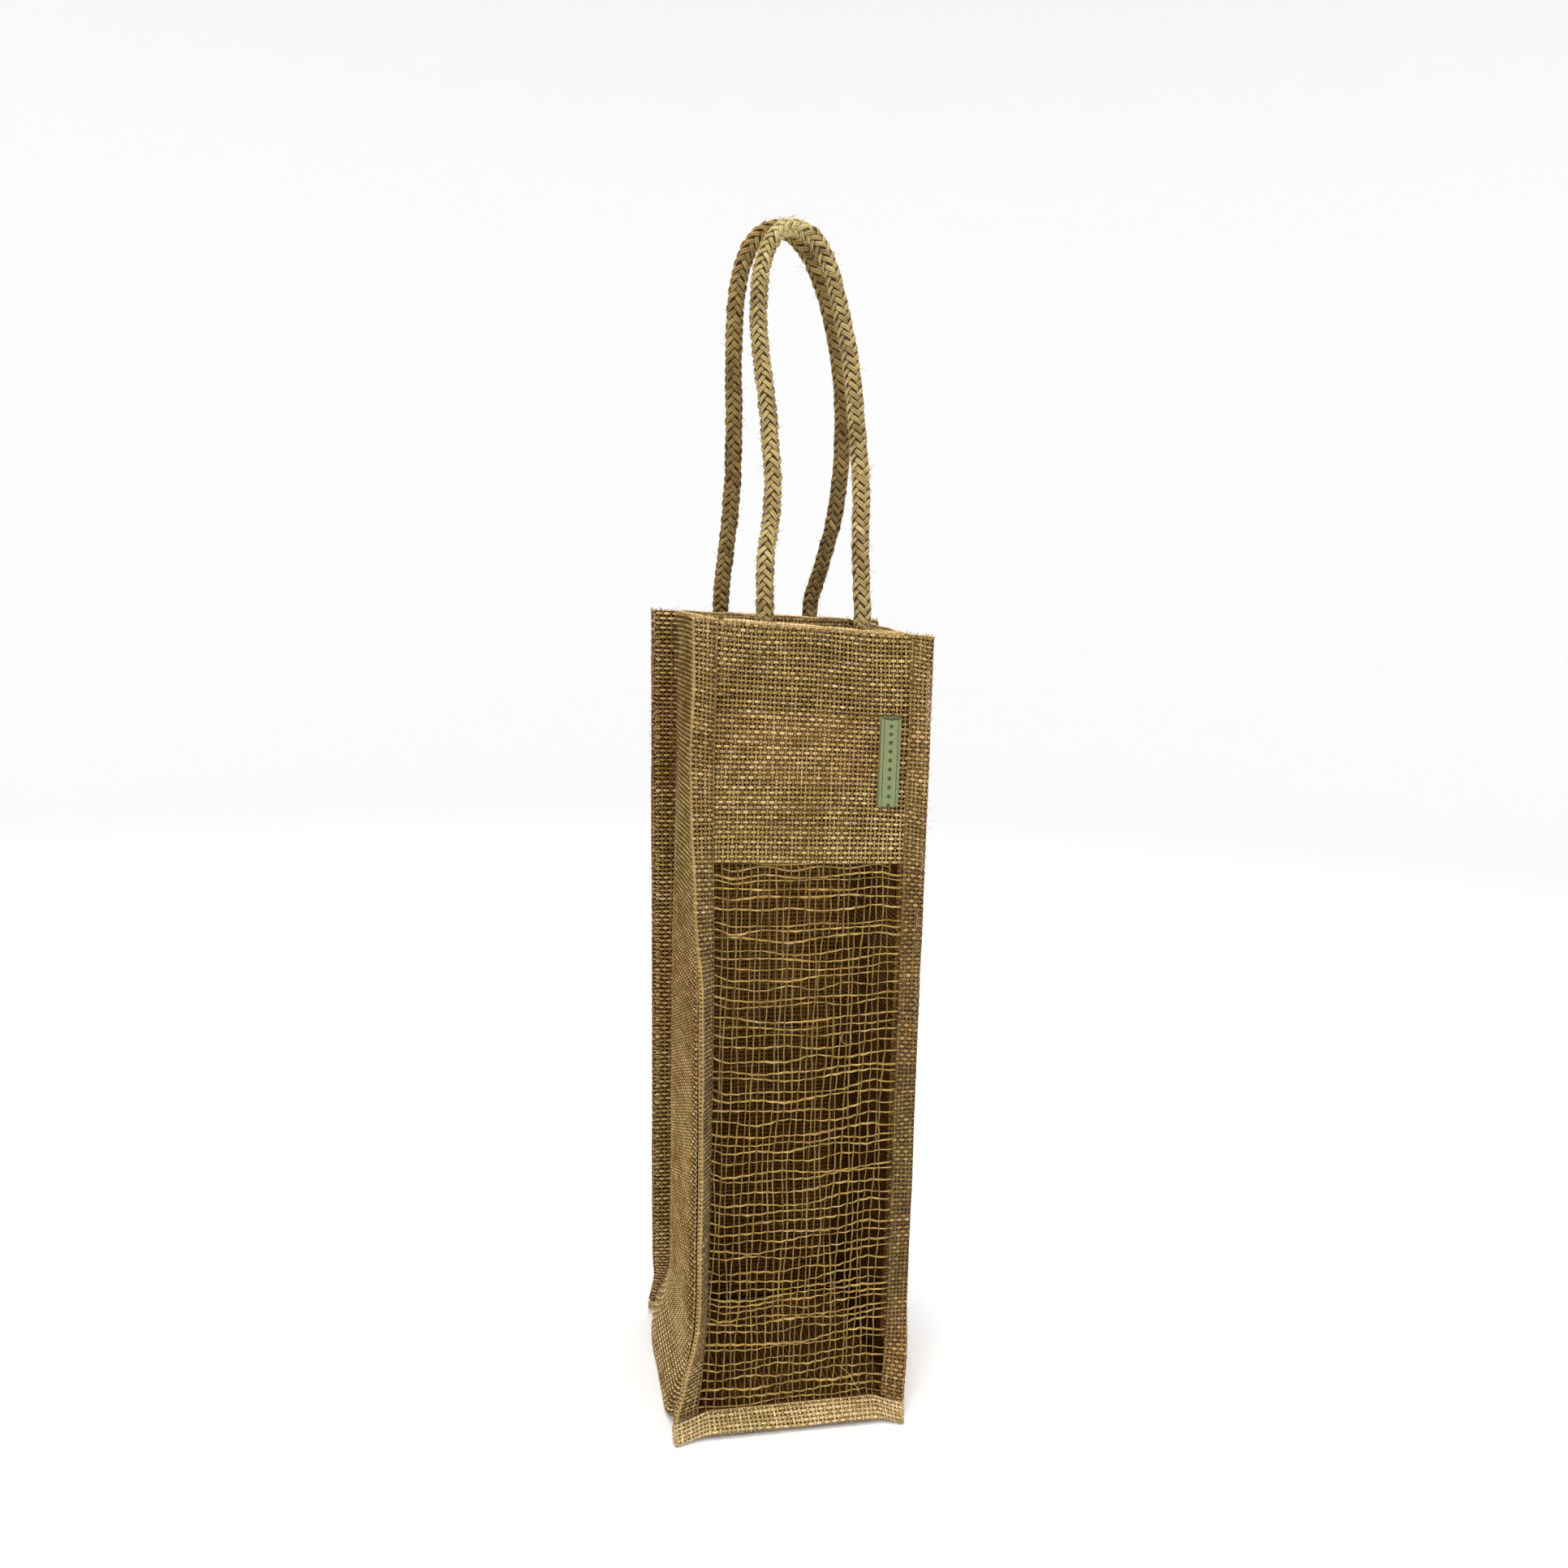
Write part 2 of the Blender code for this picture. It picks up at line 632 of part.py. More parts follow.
def rope_depth(face, rise):
    """How far from the bag's middle a handle lies: over the hem at the rim, inward at the top."""
    at_rim = SEAM_DEPTH / 2 + ROPE_OFFSET
    lean = min(max(rise - ROOT_GAP, 0.0) / (HANDLE_RISE - ROOT_GAP), 1.0)
    eased = mix(lean * lean, lean, min(lean * 4, 1.0))
    return face * mix(at_rim, HANDLE_TOP_OFFSET, eased)


def smooth_route(points, count):
    """Reads a smooth curve through the route's own points at even steps along it."""
    dense = []
    last = len(points) - 1
    for spot in range(last):
        before = points[max(spot - 1, 0)]
        first = points[spot]
        second = points[spot + 1]
        after = points[min(spot + 2, last)]
        for step in range(12):
            t = step / 12
            pull = (second - before) / 2
            push = (after - first) / 2
            rise = 3 * (second - first) - 2 * pull - push
            turn = 2 * (first - second) + pull + push
            dense.append(first + t * (pull + t * (rise + t * turn)))
    dense.append(points[-1])
    lengths = [0.0]
    for start, end in zip(dense, dense[1:]):
        lengths.append(lengths[-1] + (end - start).length)
    even = []
    spot = 0
    for step in range(count + 1):
        target = lengths[-1] * step / count
        while spot < len(dense) - 2 and lengths[spot + 1] < target:
            spot += 1
        share = (target - lengths[spot]) / (lengths[spot + 1] - lengths[spot])
        even.append(dense[spot].lerp(dense[spot + 1], share))
    return even, lengths[-1]


def make_handle(name, face, route, material):
    """The free loop of one rope handle; it turns about the panel's rim."""
    points = [Vector((x, rope_depth(face, rise), BAG_HEIGHT + rise)) for x, rise in route]
    straight = Vector((0.0, 0.0, ROOT_STRAIGHT))
    roots = [points[0], points[-1]]
    middle = [roots[0] + straight] + points[1:-1] + [roots[1] + straight]
    places, length = smooth_route(middle, LOOP_RINGS)
    places = [roots[0]] + places + [roots[1]]
    length += 2 * ROOT_STRAIGHT
    origin = Vector((0.0, face * (SEAM_DEPTH / 2 + PANEL_LAYER), BAG_HEIGHT))
    print(name, "free length", round(length, 4), "m")
    return rope_curve(name + "_handle_loop", places, origin, material)


def make_tails(name, face, route, material):
    """The ends of a handle, sewn in between the panel and its hem facing."""
    for side_name, x in zip(("left", "right"), leg_places(route)):
        y = face * (SEAM_DEPTH / 2 + ROPE_OFFSET)
        heights = spaced(BAG_HEIGHT - TAIL_LENGTH, BAG_HEIGHT, 2)
        points = [Vector((x, y, z)) for z in heights]
        rope_curve(name + "_handle_" + side_name + "_tail", points, points[0], material)


def make_label_tab(material):
    """The folded ribbon tab: two layers that open into a loop, sewn in at the seam."""
    rest = CLOTH_THICKNESS / 2 + LAYER_GAP + RIBBON_THICKNESS / 2
    back_layer = PANEL_LAYER + rest
    root = SEAM_WIDTH / 2 - TAB_ROOT_INSET
    fold_radius = TAB_OPENING / 2
    fold_x = SEAM_WIDTH / 2 - TAB_ROOT_INSET - TAB_WIDTH + fold_radius + RIBBON_THICKNESS / 2
    outline = [(root, back_layer), (mix(root, fold_x, 0.5), back_layer), (fold_x, back_layer)]
    for step in range(1, 4):
        angle = math.pi * step / 4
        outline.append((fold_x - fold_radius * math.sin(angle),
                        back_layer + fold_radius - fold_radius * math.cos(angle)))
    outline += [(fold_x, back_layer + TAB_OPENING),
                (mix(root, fold_x, 0.5),
                 back_layer + mix(TAB_ROOT_OPENING, TAB_OPENING, TAB_OPENING_SHARE)),
                (root, back_layer + TAB_ROOT_OPENING)]
    tab_top = BAG_HEIGHT - TAB_DROP
    rows = spaced(tab_top - TAB_LENGTH, tab_top, 3)
    hinge = Vector((SEAM_WIDTH / 2 - TAB_HINGE_INSET,
                    -(SEAM_DEPTH / 2 + back_layer + TAB_ROOT_OPENING / 2), tab_top))

    def place(column, row):
        x, layer = outline[column]
        return Vector((x, -(SEAM_DEPTH / 2 + layer), rows[row])) - hinge

    tab = sheet("label_tab", len(outline) - 1, len(rows) - 1, place, RIBBON_THICKNESS, material)
    tab.location = hinge
    return tab


clear_scene()
parts = make_collection("bottle_gift_bag")

make_front_upper_panel(make_material("front_upper_cloth", JUTE, 0.85))
make_front_window_net(make_material("window_net_yarn", JUTE_NET, 0.85))
make_back_panel(make_material("back_cloth", JUTE, 0.85))
make_gusset_strip(make_material("gusset_cloth", JUTE, 0.85))
for panel_face in (FRONT, BACK):
    for panel_side in (LEFT, RIGHT):
        binding_name = FACE_NAMES[panel_face] + "_" + SIDE_NAMES[panel_side] + "_binding_cloth"
        make_side_binding(panel_face, panel_side, make_material(binding_name, JUTE_LIGHT, 0.85))
    bottom_name = FACE_NAMES[panel_face] + "_bottom_binding_cloth"
    make_bottom_binding(panel_face, make_material(bottom_name, JUTE_LIGHT, 0.85))
for handle_name, handle_face, handle_route in HANDLES:
    make_panel_facing(handle_face, handle_route,
                      make_material(handle_name + "_facing_cloth", JUTE_LIGHT, 0.85))
    make_handle(handle_name, handle_face, handle_route,
                make_material(handle_name + "_handle_rope", ROPE, 0.8))
    make_tails(handle_name, handle_face, handle_route,
               make_material(handle_name + "_tail_rope", ROPE, 0.8))
for facing_side in (LEFT, RIGHT):
    facing_name = SIDE_NAMES[facing_side] + "_facing_cloth"
    make_side_facing(facing_side, make_material(facing_name, JUTE_LIGHT, 0.85))
make_label_tab(make_material("label_ribbon", RIBBON, 0.45))
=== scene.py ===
import math

import bmesh
import bpy
import numpy as np
from mathutils import Matrix, Vector


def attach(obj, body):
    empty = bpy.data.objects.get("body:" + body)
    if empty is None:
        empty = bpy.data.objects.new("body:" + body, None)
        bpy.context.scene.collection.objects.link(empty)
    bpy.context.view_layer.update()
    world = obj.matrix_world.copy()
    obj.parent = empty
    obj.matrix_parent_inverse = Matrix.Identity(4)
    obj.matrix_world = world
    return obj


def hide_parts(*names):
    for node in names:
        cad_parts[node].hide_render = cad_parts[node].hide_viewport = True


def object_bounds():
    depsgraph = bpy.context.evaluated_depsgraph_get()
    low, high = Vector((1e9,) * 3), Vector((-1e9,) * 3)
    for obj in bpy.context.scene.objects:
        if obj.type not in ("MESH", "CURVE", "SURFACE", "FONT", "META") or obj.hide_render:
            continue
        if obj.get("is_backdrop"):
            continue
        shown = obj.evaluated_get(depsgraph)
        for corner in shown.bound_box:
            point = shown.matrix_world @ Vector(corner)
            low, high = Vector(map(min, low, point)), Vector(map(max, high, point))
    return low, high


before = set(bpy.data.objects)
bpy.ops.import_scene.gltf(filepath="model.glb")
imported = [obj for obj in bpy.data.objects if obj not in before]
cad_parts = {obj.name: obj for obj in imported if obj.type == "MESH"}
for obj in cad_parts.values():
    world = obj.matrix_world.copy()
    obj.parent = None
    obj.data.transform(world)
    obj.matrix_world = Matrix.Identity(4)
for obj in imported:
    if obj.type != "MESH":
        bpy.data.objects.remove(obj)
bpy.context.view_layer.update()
dice = np.random.default_rng(11)
front, back, left, right = -1, 1, -1, 1
faceNames = {front: "front", back: "back"}
sideNames = {left: "left", right: "right"}


def addObject(name, data):
    thing = bpy.data.objects.new(name, data)
    bpy.context.scene.collection.objects.link(thing)
    return thing


# angles in degrees, lens in millimetres
camera = {"place": (-0.1395, -0.6262, 0.3811), "turn": 12.54, "tilt": 8.56, "roll": -1.80, "lens": 32.65}


def makeCamera():
    turn, tilt, roll = (math.radians(camera[key]) for key in ("turn", "tilt", "roll"))
    ahead = Vector((math.sin(turn) * math.cos(tilt), math.cos(turn) * math.cos(tilt), -math.sin(tilt)))
    level = Vector((math.cos(turn), -math.sin(turn), 0))
    down = ahead.cross(level)
    across = math.cos(roll) * level + math.sin(roll) * down
    up = math.sin(roll) * level - math.cos(roll) * down
    view = addObject("camera", bpy.data.cameras.new("camera"))
    view.data.lens = camera["lens"]
    axes = Matrix((across, up, -ahead)).transposed().to_4x4()
    view.matrix_world = Matrix.Translation(camera["place"]) @ axes
    bpy.context.scene.camera = view


makeCamera()
print("camera made")

# the bag's own measures, in metres and degrees; corners are front left, front right, back left, back right
bag = {
    "height": 0.360, "width": 0.080, "depth": 0.092, "lift": 0.0094, "corner": 0.003, "fin": 0.013,
    "bend": 0.004, "cloth": 0.0009, "binding": 0.0007, "gap": 0.0003, "flangeGap": 0.0005,
    "windowTop": 0.258, "hem": 0.038, "hemSeam": 0.3235, "flareTop": 0.042,
    "finTurns": {(front, left): 66, (front, right): -9, (back, left): 5, (back, right): -6},
    "bottomTurn": 54,
    "twistShares": ((0.0, 0.62), (0.06, 0.66), (0.10, 0.84), (0.16, 1.0), (0.26, 0.98), (0.37, 0.93),
                    (0.50, 0.84), (0.58, 0.77), (0.67, 0.50), (0.80, 0.20), (1.0, 0.06)),
    "bulge": 0.004, "flares": {left: 0.0085, right: 0.009}, "fold": 0.0022, "webEdge": 0.22,
    "frontEdge": 0.16, "rimAcross": (0.0012, 0.0, -0.0030, 0.0014), "rimUp": (0.0, -0.0044, 0.0, -0.0020),
    "baseAcross": (0.0008, 0.0022, 0.0026, 0.0), "notch": 0.55, "rawInset": 0.0022, "freeFlange": 0.75,
    "earSpread": 0.005, "earStart": 0.032, "earReach": 0.020, "earTop": 0.026, "dip": 0.0003,
    "dipAbove": 0.002, "dipHalf": 0.0016,
}
panelLayer = bag["binding"] / 2 + bag["gap"] + bag["cloth"] / 2
leafLayer = 2 * panelLayer
stripLayer = -(bag["binding"] / 2 + bag["flangeGap"] + bag["cloth"] / 2)
panelEdge = bag["fin"] - leafLayer
facingLayer = panelLayer - bag["cloth"] - bag["gap"]
halfWidth, halfDepth, rimHeight = bag["width"] / 2, bag["depth"] / 2, bag["height"]


def ease(share):
    share = np.clip(share, 0, 1)
    return share * share * (3 - 2 * share)


def mix(start, end, share):
    return start + (end - start) * share


def unit(vectors):
    return vectors / np.maximum(np.linalg.norm(vectors, axis=-1, keepdims=True), 1e-12)


def lengthsOf(points):
    return np.concatenate([[0], np.cumsum(np.linalg.norm(np.diff(points, axis=0), axis=-1))])


def readLine(values, run, places):  # values at places along a line, read straight between its points
    return np.stack([np.interp(places, run, values[:, axis]) for axis in range(3)], -1)


def evenly(points, step):
    run = lengthsOf(points)
    return readLine(points, run, np.linspace(0, run[-1], max(3, round(run[-1] / step)) + 1))


def readAlong(net, knots, places):  # a smooth curve through the rows of a net
    slopes = np.gradient(net, knots, axis=0)
    spot = np.clip(np.searchsorted(knots, places, side="right") - 1, 0, len(knots) - 2)
    shape = (-1,) + (1,) * (net.ndim - 1)
    width = (knots[spot + 1] - knots[spot]).reshape(shape)
    t = (places.reshape(shape) - knots[spot].reshape(shape)) / width
    start = (2 * t ** 3 - 3 * t ** 2 + 1) * net[spot] + (t ** 3 - 2 * t ** 2 + t) * width * slopes[spot]
    end = (3 * t ** 2 - 2 * t ** 3) * net[spot + 1] + (t ** 3 - t ** 2) * width * slopes[spot + 1]
    return start + end


def ripple(rows, columns, down, over):  # a smooth random field from -1 to 1
    coarse = dice.uniform(-1, 1, (down + 3, over + 3))
    tall = readAlong(coarse, np.arange(down + 3.0), np.linspace(1, down + 1, rows))
    return readAlong(tall.T, np.arange(over + 3.0), np.linspace(1, over + 1, columns)).T


def sway(count, swells):  # the same along one line
    return ripple(count, 1, swells, 1)[:, 0]


def stand(points):  # the true box leans a little where the bag stands
    x, y, z = points[..., 0], points[..., 1], points[..., 2]
    height = np.minimum(z / rimHeight, 1)
    across, depth = x / bag["width"] + 0.5, y / bag["depth"] + 0.5

    def spread(corners):
        return mix(mix(corners[0], corners[1], across), mix(corners[2], corners[3], across), depth)

    moved = x + mix(spread(bag["baseAcross"]), spread(bag["rimAcross"]), height)
    pulledOut = ease((-x - bag["earStart"]) / bag["earReach"]) * ease(1 - z / bag["earTop"])
    return np.stack([moved - bag["earSpread"] * pulledOut, y, z + spread(bag["rimUp"]) * height ** 3], -1)


twistHeights = np.linspace(0, 1, 400)
twistParts = readAlong(*np.array(bag["twistShares"]).T[::-1], twistHeights)


def finTurn(face, side, z, around):  # how far a fin is turned forward
    z = np.maximum(z, bag["lift"] + bag["corner"])
    peak = np.where(side < 0, bag["finTurns"][(face, left)], bag["finTurns"][(face, right)])
    share = np.interp(z / rimHeight, twistHeights, twistParts)
    toBottom = ease(1 - (z - bag["lift"]) / bag["flareTop"])
    upright = mix(peak * share, bag["bottomTurn"] * twistParts[0], toBottom)
    return np.radians(mix(upright, bag["bottomTurn"], ease(around)))


def bendOut(turn, distance):  # outward and forward places on a fin's middle line, and the angle
    half = bag["bend"] / 2
    part = np.clip((distance + half) / bag["bend"], 0, 1)
    turn = np.where(np.abs(turn) < 0.001, 0.001, turn)
    angle = turn * part
    radius = bag["bend"] / turn
    outward = np.minimum(distance + half, 0) - half + radius * np.sin(angle)
    beyond = np.maximum(distance - half, 0)
    return outward + beyond * np.cos(turn), radius * (1 - np.cos(angle)) + beyond * np.sin(turn), angle


def onCloth(face, x, z, layer):  # a flat panel point on a layer of the fin, on the standing bag
    x, z, layer = np.broadcast_arrays(np.asarray(x, float), np.asarray(z, float), layer)
    side = np.where(x < 0, -1.0, 1.0)
    out = np.abs(x) - (halfWidth - bag["corner"])
    down = bag["lift"] + bag["corner"] - z
    corner = (out > 0) & (down > 0)
    sideways = ~corner & ((out > 0) | (out >= down))
    reach = np.where(corner, np.hypot(out, down), np.where(sideways, out, down))
    safe = np.maximum(reach, 1e-9)
    goX = np.where(corner, side * out / safe, np.where(sideways, side, 0))
    goZ = np.where(corner, -down / safe, np.where(sideways, 0, -1))
    around = np.where(corner, np.arctan2(down, out) / (math.pi / 2), np.where(sideways, 0, 1))
    distance = reach - bag["corner"]
    seamX, seamZ = x - goX * distance, z - goZ * distance
    outward, forward, angle = bendOut(finTurn(face, side, seamZ, around), distance)
    outward = outward - layer * np.sin(angle)
    forward = forward + layer * np.cos(angle)
    return stand(np.stack([seamX + goX * outward, face * (halfDepth + forward), seamZ + goZ * outward], -1))


# finishes: a node's output is a wire, which is added and multiplied like a number
class Wire:
    def __init__(self, socket):
        self.socket, self.tree = socket, socket.id_data

    def to(self, operation, *others):
        return sums(self.tree, operation, self, *others)

    def __add__(self, other):
        return self.to("ADD", other)

    def __sub__(self, other):
        return self.to("SUBTRACT", other)

    def __rsub__(self, other):
        return sums(self.tree, "SUBTRACT", other, self)

    def __mul__(self, other):
        return self.to("MULTIPLY", other)

    def __truediv__(self, other):
        return self.to("DIVIDE", other)


def addNode(tree, kind, links, **settings):
    node = tree.nodes.new("ShaderNode" + kind)
    for key, value in settings.items():
        setattr(node, key, value)
    for socket, value in links.items():
        if isinstance(value, Wire):
            tree.links.new(value.socket, node.inputs[socket])
        else:
            node.inputs[socket].default_value = value
    return [Wire(socket) for socket in node.outputs]


def sums(tree, operation, *values):
    return addNode(tree, "Math", dict(enumerate(values)), operation=operation)[0]


def softStep(value, start, end):
    links = {0: value, 1: start, 2: end}
    return addNode(value.tree, "MapRange", links, interpolation_type="SMOOTHSTEP")[0]


def noise(place, scale, detail):
    return addNode(place.tree, "TexNoise", {"Vector": place, "Scale": scale, "Detail": detail})[0]


def grainy(x, y, z, detail=2.0):
    return noise(addNode(x.tree, "CombineXYZ", {0: x, 1: y, 2: z})[0], 1.0, detail)


def objectPlace(tree):
    return addNode(tree, "TexCoord", {})[3]


def readMap(tree, name):
    return addNode(tree, "SeparateXYZ", {0: addNode(tree, "UVMap", {}, uv_map=name)[0]})


def byHeight(value, place, zones):  # a value that changes between two heights, for each zone: painted light on some finishes, a change of rust on others
    for start, end, change in zones:
        height = addNode(place.tree, "SeparateXYZ", {0: place})[2]
        value = value + softStep(height, start, end) * change
    return value


def mixColours(share, *colours):
    first, second = ((*colour, 1) if isinstance(colour, tuple) else colour for colour in colours)
    return addNode(share.tree, "Mix", {0: share, 6: first, 7: second}, data_type="RGBA")[2]


def colourRamp(share, colours):
    ramp = addNode(share.tree, "ValToRGB", {0: share})[0]
    band = ramp.socket.node.color_ramp
    while len(band.elements) < len(colours):
        band.elements.new(0.5)
    for spot, (place, colour) in zip(band.elements, colours):
        spot.position = place
        spot.color = (*colour, 1)
    return ramp


def startFinish(name, roughness, sheen, gloss=0.25):
    finish = bpy.data.materials.new(name)
    finish.use_nodes = True
    shader = finish.node_tree.nodes["Principled BSDF"]
    shader.inputs["Roughness"].default_value = roughness
    shader.inputs["Sheen Weight"].default_value = sheen
    shader.inputs["Sheen Roughness"].default_value = 0.5
    shader.inputs["Specular IOR Level"].default_value = gloss
    return finish, finish.node_tree, shader


def endFinish(shader, colour, height, strength, distance):
    links = {"Strength": strength, "Distance": distance, "Height": height}
    bump = addNode(colour.tree, "Bump", links)[0]
    colour.tree.links.new(colour.socket, shader.inputs["Base Color"])
    colour.tree.links.new(bump.socket, shader.inputs["Normal"])


def wovenFinish(name, base, **changes):  # plain weave on a map counted in threads
    look = {**base, **changes}
    finish, tree, shader = startFinish(name, 0.85, look["sheen"], look["gloss"])
    u, v, _ = readMap(tree, "threads")
    column, row = u.to("FLOOR"), v.to("FLOOR")
    warpTop = (column + row).to("MODULO", 2.0)
    fromColumn, fromRow = [(axis.to("FRACT") - 0.5).to("ABSOLUTE") * 2.0 for axis in (u, v)]
    columnTone = grainy(column * 3.71, v * 0.13, 1.0)
    rowTone = grainy(u * 0.13, row * 3.71, 7.0)
    columnFibre = grainy(u * 8.0, v * 1.3, 3.0, 3.0)
    rowFibre = grainy(u * 1.3, v * 8.0, 5.0, 3.0)
    cellTone = grainy(column * 1.37, row * 1.73, 9.0)
    columnWidth = columnTone * look["widthSpread"] + look["columnWidth"]
    rowWidth = rowTone * look["widthSpread"] + look["rowWidth"]
    columnShare, rowShare = fromColumn / columnWidth, fromRow / rowWidth
    inColumn, inRow = [1.0 - softStep(share, 0.88, 1.04) for share in (columnShare, rowShare)]
    isWarp = inColumn * mix(1.0 - inRow, 1.0, warpTop)
    weftRun = mix(fromColumn, 2.0 - fromColumn, warpTop)
    warpRun = mix(2.0 - fromRow, fromRow, warpTop)

    def shadeOf(run, far, share):  # a thread is darker where it dives and at its two sides
        dive = softStep(run, look["flat"], 2.0 - far) * look["dive"]
        return (1.0 - dive) * (1.0 - softStep(share, 0.35, 1.05) * look["side"])

    weftShade = shadeOf(weftRun, columnWidth, rowShare)
    warpShade = shadeOf(warpRun, rowWidth, columnShare) * look["warpShare"]
    shade = mix(weftShade, warpShade, isWarp) * inColumn.to("MAXIMUM", inRow)
    tone = mix(rowTone + look["weftLight"], columnTone, isWarp)
    fibre = mix(rowFibre, columnFibre, isWarp)
    place = objectPlace(tree)
    mottle, patch = noise(place, 26.0, 3.0), noise(place, 11.0, 2.0)
    share = fibre * look["fibre"] + (tone * look["tone"] + (mottle * look["mottle"] + look["lightness"]))
    share = byHeight(cellTone * look["cell"] + share, place, look["zones"])
    rust = patch * look["patch"] + (tone * look["rustTone"] + look["rustShare"])
    rust = byHeight(rust, place, look["rustZones"])
    jutes = [colourRamp(share, look[key]) for key in ("green", "rust")]
    colour = mixColours(shade, look["shadow"], mixColours(softStep(rust, 0.0, 1.0), *jutes))
    if "fold" in look:  # the folded edge is pale and smooth
        colour = mixColours(readMap(tree, "rise")[0] * (mottle * 0.9 + 0.35), colour, look["fold"])
    endFinish(shader, colour, fibre * 0.35 + shade * 0.8, look["bump"], 0.0005)
    return finish


jute = {
    "widthSpread": 0.24, "columnWidth": 0.38, "rowWidth": 0.50, "flat": 0.90, "dive": 0.84, "side": 0.72,
    "warpShare": 0.92, "bump": 0.9, "weftLight": 0.12, "fibre": 0.72, "tone": 0.95, "cell": 0.46,
    "mottle": 0.40, "patch": 2.8, "rustTone": 0.9, "rustShare": -1.55, "zones": (), "rustZones": (),
    "sheen": 0.05, "gloss": 0.25, "shadow": (0.014, 0.006, 0.001),
    "green": ((0.15, (0.110, 0.062, 0.010)), (0.42, (0.28, 0.175, 0.044)), (0.62, (0.47, 0.318, 0.105)),
              (0.90, (0.82, 0.61, 0.30))),
    "rust": ((0.15, (0.120, 0.052, 0.010)), (0.42, (0.31, 0.162, 0.044)), (0.62, (0.50, 0.295, 0.105)),
             (0.90, (0.84, 0.57, 0.29))),
}
clothFinish = wovenFinish("jute_cloth", jute, lightness=-0.75)
# painted light: the strip is lighter below 60 mm, fully below 24 mm, where its flared foot faces up into the
# light
gussetFinish = wovenFinish("jute_strip", jute, lightness=-0.735, side=0.90, warpShare=0.42, dive=0.40,
                           rowWidth=0.46, rustShare=-1.30, sheen=0.0, gloss=0.04,
                           zones=((0.060, 0.024, 0.15),))
# painted light: the inside cloth is lighter from 100 mm up, fully above 240 mm, towards the mouth where light
# comes in
innerFinish = wovenFinish("jute_cloth_inside", jute, lightness=-0.54, dive=0.25, side=0.25, cell=0.10,
                          fibre=0.25, weftLight=0.05, warpShare=0.95, sheen=0.0, tone=0.60, gloss=0.04,
                          shadow=(0.022, 0.010, 0.002), rustShare=-0.70, zones=((0.10, 0.24, 0.20),))
openFinish = wovenFinish("open_jute_cloth", jute, lightness=-0.735,
                         zones=((0.3215, 0.3235, -0.03), (0.262, 0.270, -0.06)),
                         rustZones=((0.262, 0.270, 0.05), (0.3215, 0.3235, -0.3)))
# painted light: the rolled rim is a lighter copy of the cloth, for the pale lip where the fold turns up into
# the light; its painted threads are wider, with smaller dark holes and less painted shade
rimFinish = wovenFinish("rolled_rim", jute, lightness=-0.58, columnWidth=0.76, rowWidth=0.86, dive=0.45,
                        side=0.40, warpShare=1.0)
sideLook = {**jute, "columnWidth": 0.44, "rowWidth": 0.56, "warpShare": 0.90, "rustShare": -1.40}
bindingFinish = wovenFinish("jute_binding", sideLook, lightness=-0.83, fold=(0.50, 0.33, 0.12))
darkBindingFinish = wovenFinish("jute_dark_binding", sideLook, lightness=-0.87, rowWidth=0.46,
                                rustShare=-1.15, warpShare=0.70)
# painted shade: the right fin's binding is a darker copy, as that fin is turned away from the light, which
# comes from the left; it is lighter again from 200 mm up, fully above 320 mm
rightBindingFinish = wovenFinish("jute_right_binding", sideLook, lightness=-0.97, rustShare=-1.50,
                                 zones=((0.20, 0.32, 0.12),))
# painted light: the bottom binding is a lighter copy, as it is turned up into the light; its threads also
# carry less painted shade
bottomFinish = wovenFinish("jute_bottom_binding", sideLook, lightness=-0.50, rustShare=-1.8, side=0.45,
                           weftLight=0.08, warpShare=1.0, dive=0.70, cell=0.4)
facingFinish = wovenFinish("jute_facing", sideLook, lightness=-0.70)
shadedFinish = wovenFinish("shaded_jute", sideLook, lightness=-1.12, sheen=0.0, gloss=0.04)


def yarnFinish(name, colours, stretch, lightness):  # single yarns, streaked along one axis of the object
    finish, tree, shader = startFinish(name, 0.8, 0.15)
    place = addNode(tree, "Mapping", {"Vector": objectPlace(tree), "Scale": stretch})[0]
    streak, fine = noise(place, 1.0, 3.0), noise(place, 6.0, 2.0)
    share = fine * 0.35 + (streak * 0.9 + lightness)
    endFinish(shader, colourRamp(share, colours), fine, 0.6, 0.0002)
    return finish


netColours = ((0.15, (0.110, 0.055, 0.009)), (0.42, (0.26, 0.155, 0.032)), (0.62, (0.45, 0.295, 0.080)),
              (0.90, (0.78, 0.57, 0.23)))
uprightYarnFinish = yarnFinish("net_upright_yarn", netColours, (420, 420, 60), -0.28)
levelYarnFinish = yarnFinish("net_level_yarn", netColours, (90, 420, 420), -0.08)
looseYarnFinish = yarnFinish("loose_yarn", jute["green"], (300, 300, 300), 0.0)
stitchFinish = yarnFinish("sewing_thread", jute["green"], (500, 500, 500), -0.42)


